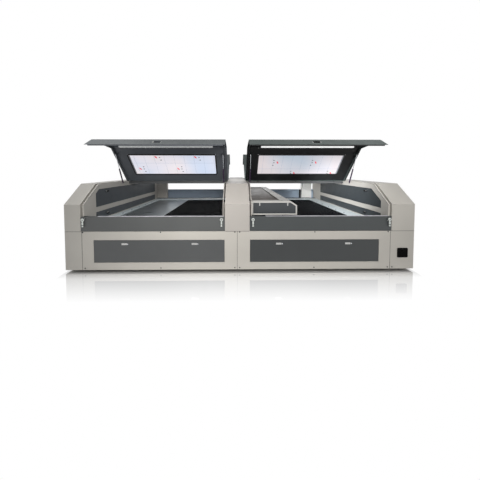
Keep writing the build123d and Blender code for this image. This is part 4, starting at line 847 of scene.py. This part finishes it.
# Key barrels beside the door paddles: radius and height of the barrel, then the keyway
KEY_GAP, KEY_BACK = 0.012, 0.001
BARREL = ((0.0085, 0.0), (0.0085, 0.0035), (0.0065, 0.0045), (0.0, 0.0045))
KEYWAY_HALF, KEYWAY_PROUD = (0.0009, 0.0035), (0.0040, 0.0034)
for bay in BAYS:
    for number in (1, 2):
        low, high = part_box(f"{bay}_door_paddle_{number}")
        x = high.x + KEY_GAP
        z = (low.z + high.z) / 2

        def barrel(bm):
            add_turned(bm, facing((x, FRONT + KEY_BACK, z), AHEAD), BARREL, 18)

        def keyway(bm):
            half_x, half_z = KEYWAY_HALF
            add_box(bm, (x - half_x, FRONT - KEYWAY_PROUD[0], z - half_z),
                    (x + half_x, FRONT - KEYWAY_PROUD[1], z + half_z))
        build(f"{bay}_door_key_{number}", barrel, chrome, bay + "_lower_door", smooth=True)
        build(f"{bay}_door_keyway_{number}", keyway, black_plastic, bay + "_lower_door")

# Bolts along the rail beams, the bed's ledges and the rails: radius, pitch, first place
BEAM_BOLT_RADIUS, BEAM_BOLT_PITCH, BEAM_BOLT_START = 0.011, 0.423, -2.06
BEAM_BOLT_Y = (FRONT + 2.368, FRONT + 0.082)
LEDGE_BOLT_RADIUS, LEDGE_BOLT_PITCH, LEDGE_BOLT_START = 0.010, 0.262, 0.12
LEDGE_BOLT_OUT = 0.028
RAIL_SCREW_RADIUS, RAIL_SCREW_PITCH, RAIL_SCREW_START = 0.0045, 0.12, 0.06
RAIL_SCREW_Y = (FRONT + 0.200, REAR - 0.200)
BEAM_END_GAP, RAIL_END_GAP = 0.05, 0.04
beam_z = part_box("linear_rails")[0].z
rail_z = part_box("linear_rails")[1].z
frame_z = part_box("bed_frame")[1].z
plate_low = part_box("parking_plate")[0]
beam_bolts = [((x, y, beam_z), UP)
              for x in steps(BEAM_BOLT_START, RIGHT_WALL - BEAM_END_GAP, BEAM_BOLT_PITCH)
              for y in BEAM_BOLT_Y]
screws("rail_beam_bolts", beam_bolts, BEAM_BOLT_RADIUS, zinc, "machine_body")
ledge_bolts = [((x, y, frame_z), UP)
               for y in steps(comb_low.y + LEDGE_BOLT_START, comb_high.y, LEDGE_BOLT_PITCH)
               for x in (comb_high.x + LEDGE_BOLT_OUT, plate_low.x - LEDGE_BOLT_OUT)]
screws("ledge_bolts", ledge_bolts, LEDGE_BOLT_RADIUS, bolt_dark, "machine_body")
rail_x = steps(LEFT_WALL + RAIL_SCREW_START, RIGHT_WALL - RAIL_END_GAP, RAIL_SCREW_PITCH)
rail_screws = [((x, y, rail_z), UP) for x in rail_x for y in RAIL_SCREW_Y]
screws("rail_screws", rail_screws, RAIL_SCREW_RADIUS, bolt_dark, "machine_body")

# Limit switch fittings on the liners: Y and Z of the bodies and of the rollers
SWITCH_BODIES = ((FRONT + 0.452, 1.108), (FRONT + 0.452, 0.742))
SWITCH_ROLLERS = ((FRONT + 0.418, 1.112), (FRONT + 0.430, 0.756))
LINER_FACE = 0.003
SWITCH_DEEP, SWITCH_HALF, SWITCH_BEVEL = 0.022, (0.018, 0.012), 0.003
ROLLER = ((0.010, 0.0), (0.010, 0.012), (0.006, 0.014), (0.0, 0.014))
ROLLER_OUT, ARM_OUT, ARM_HALF, ARM_LENGTH = 0.006, 0.004, (0.002, 0.004), 0.04
for side, wall, inward in (("left", LEFT_WALL, 1), ("right", RIGHT_WALL, -1)):
    face_x = wall + inward * LINER_FACE

    def boxes(bm):
        near, far = sorted((face_x, face_x + inward * SWITCH_DEEP))
        half_y, half_z = SWITCH_HALF
        for y, z in SWITCH_BODIES:
            add_box(bm, (near, y - half_y, z - half_z), (far, y + half_y, z + half_z),
                    bevel=SWITCH_BEVEL)

    def rollers(bm):
        arm_x = face_x + inward * ARM_OUT
        half_x, half_z = ARM_HALF
        for y, z in SWITCH_ROLLERS:
            m = facing((face_x + inward * ROLLER_OUT, y, z), (inward, 0, 0))
            add_turned(bm, m, ROLLER, 16)
            add_box(bm, (arm_x - half_x, y, z - half_z),
                    (arm_x + half_x, y + ARM_LENGTH, z + half_z))
    build(side + "_switch_bodies", boxes, black_plastic, "machine_body")
    build(side + "_switch_rollers", rollers, zinc, "machine_body", smooth=True)

# Gantry end tabs, and the screws of its top strip
gantry_low, gantry_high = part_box("gantry_cover")
TAB_X, TAB_HALF, TAB_BEVEL = (0.118, 0.542), 0.008, 0.0008
TAB_BACK, TAB_PROUD = 0.0004, 0.0035
TAB_DROP = (0.066, 0.024)
STRIP_SCREW_X = (0.478, 0.566)
STRIP_SCREW_RADIUS, STRIP_SCREW_PITCH = 0.006, 0.32
STRIP_START, STRIP_STOP = 0.09, 0.05


def tabs(bm):
    for offset in TAB_X:
        x = gantry_low.x + offset
        add_box(bm, (x - TAB_HALF, gantry_low.y - TAB_BACK, gantry_high.z - TAB_DROP[0]),
                (x + TAB_HALF, gantry_low.y + TAB_PROUD, gantry_high.z - TAB_DROP[1]),
                bevel=TAB_BEVEL)


build("gantry_end_tabs", tabs, zinc, "gantry")
strip_y = steps(gantry_low.y + STRIP_START, gantry_high.y - STRIP_STOP, STRIP_SCREW_PITCH)
strip_screws = [((gantry_low.x + offset, y, gantry_high.z), UP)
                for y in strip_y for offset in STRIP_SCREW_X]
screws("gantry_strip_screws", strip_screws, STRIP_SCREW_RADIUS, bolt_dark, "gantry")

# Floor
SHADOW_HALF = (2.47, 1.235)
END_STRETCH = 4.0
FLOOR_HALF = 40


def floor_material():
    """White studio floor: real shadow and a painted contact shadow near the machine, a short
    mirror image, white beyond.
    """
    g = Graph("studio_floor")
    g.set(Roughness=0.7, Specular_IOR_Level=0.0)
    white = g.new("ShaderNodeEmission")
    white.inputs["Color"].default_value = (1, 1, 1, 1)
    rays = g.new("ShaderNodeLightPath")
    # Plain white for the camera, and less for the light that it throws on the machine
    strength = g.span(rays.outputs["Is Diffuse Ray"], (0.0, 1.0), (1.0, 0.32))
    g.link(strength, white.inputs["Strength"])
    across, deep = [g.math("ABSOLUTE", g.axis(which)) for which in ("X", "Y")]
    past = g.math("MAXIMUM", g.math("SUBTRACT", across, SHADOW_HALF[0]), 0.0)
    x = g.math("MULTIPLY", past, END_STRETCH)
    y = g.math("MAXIMUM", g.math("SUBTRACT", deep, SHADOW_HALF[1]), 0.0)
    square = g.math("ADD", g.math("MULTIPLY", x, x), g.math("MULTIPLY", y, y))
    away = g.math("SQRT", square)
    cloud = g.noise(0.9, detail=2.0, rough=0.5)
    base = g.ramp(cloud, [(0.3, (0.60, 0.60, 0.60, 1)), (0.7, (0.64, 0.64, 0.64, 1))])
    # Painted contact shadow: the floor's colour turns almost black at the machine's footprint.
    base = g.mix(g.span(away, (0.0, 0.07), (0.85, 0.0)), base, (0.06, 0.06, 0.06, 1))
    g.link(base, g.bsdf.inputs["Base Color"])
    ground = g.new("ShaderNodeMixShader")
    g.link(g.span(away, (0.0, 0.16), (0.0, 1.0)), ground.inputs["Fac"])
    g.link(g.bsdf.outputs["BSDF"], ground.inputs[1])
    g.link(white.outputs["Emission"], ground.inputs[2])
    mirror = g.new("ShaderNodeBsdfGlossy")
    mirror.inputs["Roughness"].default_value = 0.04
    mirror.inputs["Color"].default_value = (1, 1, 1, 1)
    shader = g.new("ShaderNodeMixShader")
    g.link(g.span(away, (0.02, 0.57), (0.60, 0.0)), shader.inputs["Fac"])
    g.link(ground.outputs["Shader"], shader.inputs[1])
    g.link(mirror.outputs["BSDF"], shader.inputs[2])
    g.link(shader.outputs["Shader"], g.tree.nodes["Material Output"].inputs["Surface"])
    return g.mat


floor_data = bpy.data.meshes.new("studio_floor")
corners = [(-FLOOR_HALF, -FLOOR_HALF, 0), (FLOOR_HALF, -FLOOR_HALF, 0),
           (FLOOR_HALF, FLOOR_HALF, 0), (-FLOOR_HALF, FLOOR_HALF, 0)]
floor_data.from_pydata(corners, [], [(0, 1, 2, 3)])
floor_data.materials.append(floor_material())
floor = bpy.data.objects.new("studio_floor", floor_data)
scene.collection.objects.link(floor)
floor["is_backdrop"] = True

# World: soft light, and plain white where the camera, glass and gloss look at it
world = bpy.data.worlds.new("studio")
scene.world = world
world.use_nodes = True
tree = world.node_tree
tree.nodes.clear()
path = tree.nodes.new("ShaderNodeLightPath")
camera_or_gloss = tree.nodes.new("ShaderNodeMath")
camera_or_gloss.operation = "MAXIMUM"
seen = tree.nodes.new("ShaderNodeMath")
seen.operation = "MAXIMUM"
tree.links.new(path.outputs["Is Camera Ray"], camera_or_gloss.inputs[0])
tree.links.new(path.outputs["Is Glossy Ray"], camera_or_gloss.inputs[1])
tree.links.new(camera_or_gloss.outputs[0], seen.inputs[0])
tree.links.new(path.outputs["Is Transmission Ray"], seen.inputs[1])
dim = tree.nodes.new("ShaderNodeBackground")
dim.inputs["Color"].default_value = (0.95, 0.97, 1.0, 1)
dim.inputs["Strength"].default_value = 0.28
white = tree.nodes.new("ShaderNodeBackground")
white.inputs["Color"].default_value = (1, 1, 1, 1)
white.inputs["Strength"].default_value = 1.0
choose = tree.nodes.new("ShaderNodeMixShader")
tree.links.new(seen.outputs[0], choose.inputs["Fac"])
tree.links.new(dim.outputs[0], choose.inputs[1])
tree.links.new(white.outputs[0], choose.inputs[2])
world_out = tree.nodes.new("ShaderNodeOutputWorld")
tree.links.new(choose.outputs[0], world_out.inputs["Surface"])


# Lights
def soft_light(name, place, target, size, power, colour=(1, 1, 1), spread=180):
    """A rectangular light that looks at a target and is not seen by the camera."""
    data = bpy.data.lights.new(name, "AREA")
    data.shape = "RECTANGLE"
    data.size, data.size_y = size
    data.energy = power
    data.color = colour
    data.spread = radians(spread)
    obj = bpy.data.objects.new(name, data)
    obj.visible_camera = False
    scene.collection.objects.link(obj)
    obj.location = place
    obj.rotation_euler = (Vector(target) - Vector(place)).to_track_quat("-Z", "Y").to_euler()


WARM, COOL, WHITE = (1.0, 0.97, 0.94), (0.97, 0.98, 1.0), (1, 1, 1)
# Name, place, target, size, power in watts, colour, spread in degrees
LIGHTS = (
    ("key_left", (-0.95, -3.2, 2.2), (-0.95, -1.25, 0.75), (1.2, 0.7), 11.2, WARM, 80),
    ("key_right", (1.05, -3.2, 2.2), (1.05, -1.25, 0.65), (2.2, 0.7), 36.0, WARM, 140),
    ("top_left", (-2.7, -1.3, 4.0), (-2.35, -1.0, 0.95), (0.9, 0.9), 3.8, COOL, 60),
    ("top_right", (2.7, -1.3, 4.0), (2.35, -1.0, 0.95), (0.9, 0.9), 1.4, COOL, 60),
    ("housing_glow", (1.25, 0.25, 1.05), (1.85, 1.15, 0.98), (0.2, 0.2), 0.5, WHITE, 60),
    ("end_fill", (1.0, -1.75, 1.45), (2.2, 0.1, 0.85), (0.4, 0.3), 6.2, COOL, 50),
    ("rear_softbox", (0.5, 5.5, 3.8), (0.0, 0.0, 0.9), (6.0, 3.0), 60.0, WHITE, 180),
)
for light in LIGHTS:
    soft_light(*light)
for bay, (low, high) in BAYS.items():
    middle = (low + high) / 2
    soft_light(bay + "_bay_light", (middle, HINGE_Y["front"] + 0.08, 1.75), (middle, 0.1, 0.7),
               (1.7, 0.25), 8.0)
    soft_light(bay + "_rear_glow", (middle, 0.1, 1.35), (middle, 1.22, 0.80),
               (1.6, 0.15), 1.6, COOL, 100)

# Camera at the photograph's viewpoint: focal length and principal point in pixels
PICTURE = 480.0
FOCAL = 170.6
PRINCIPAL = (237.0, 174.8)
SENSOR = 36.0
TILT_DOWN, TURN = 1.711, -0.496
camera_data = bpy.data.cameras.new("camera")
camera = bpy.data.objects.new("camera", camera_data)
scene.collection.objects.link(camera)
camera_data.sensor_width = SENSOR
camera_data.lens = SENSOR * FOCAL / PICTURE
camera_data.shift_x = (PICTURE / 2 - PRINCIPAL[0]) / PICTURE
camera_data.shift_y = (PRINCIPAL[1] - PICTURE / 2) / PICTURE
camera_data.clip_end = 200.0
camera.location = (-0.077, -3.656, 1.463)
camera.rotation_euler = (radians(90 - TILT_DOWN), 0.0, radians(TURN))
scene.camera = camera

low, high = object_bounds()
{"cad": [list(cad_low), list(cad_high)], "visual": [list(low), list(high)]}
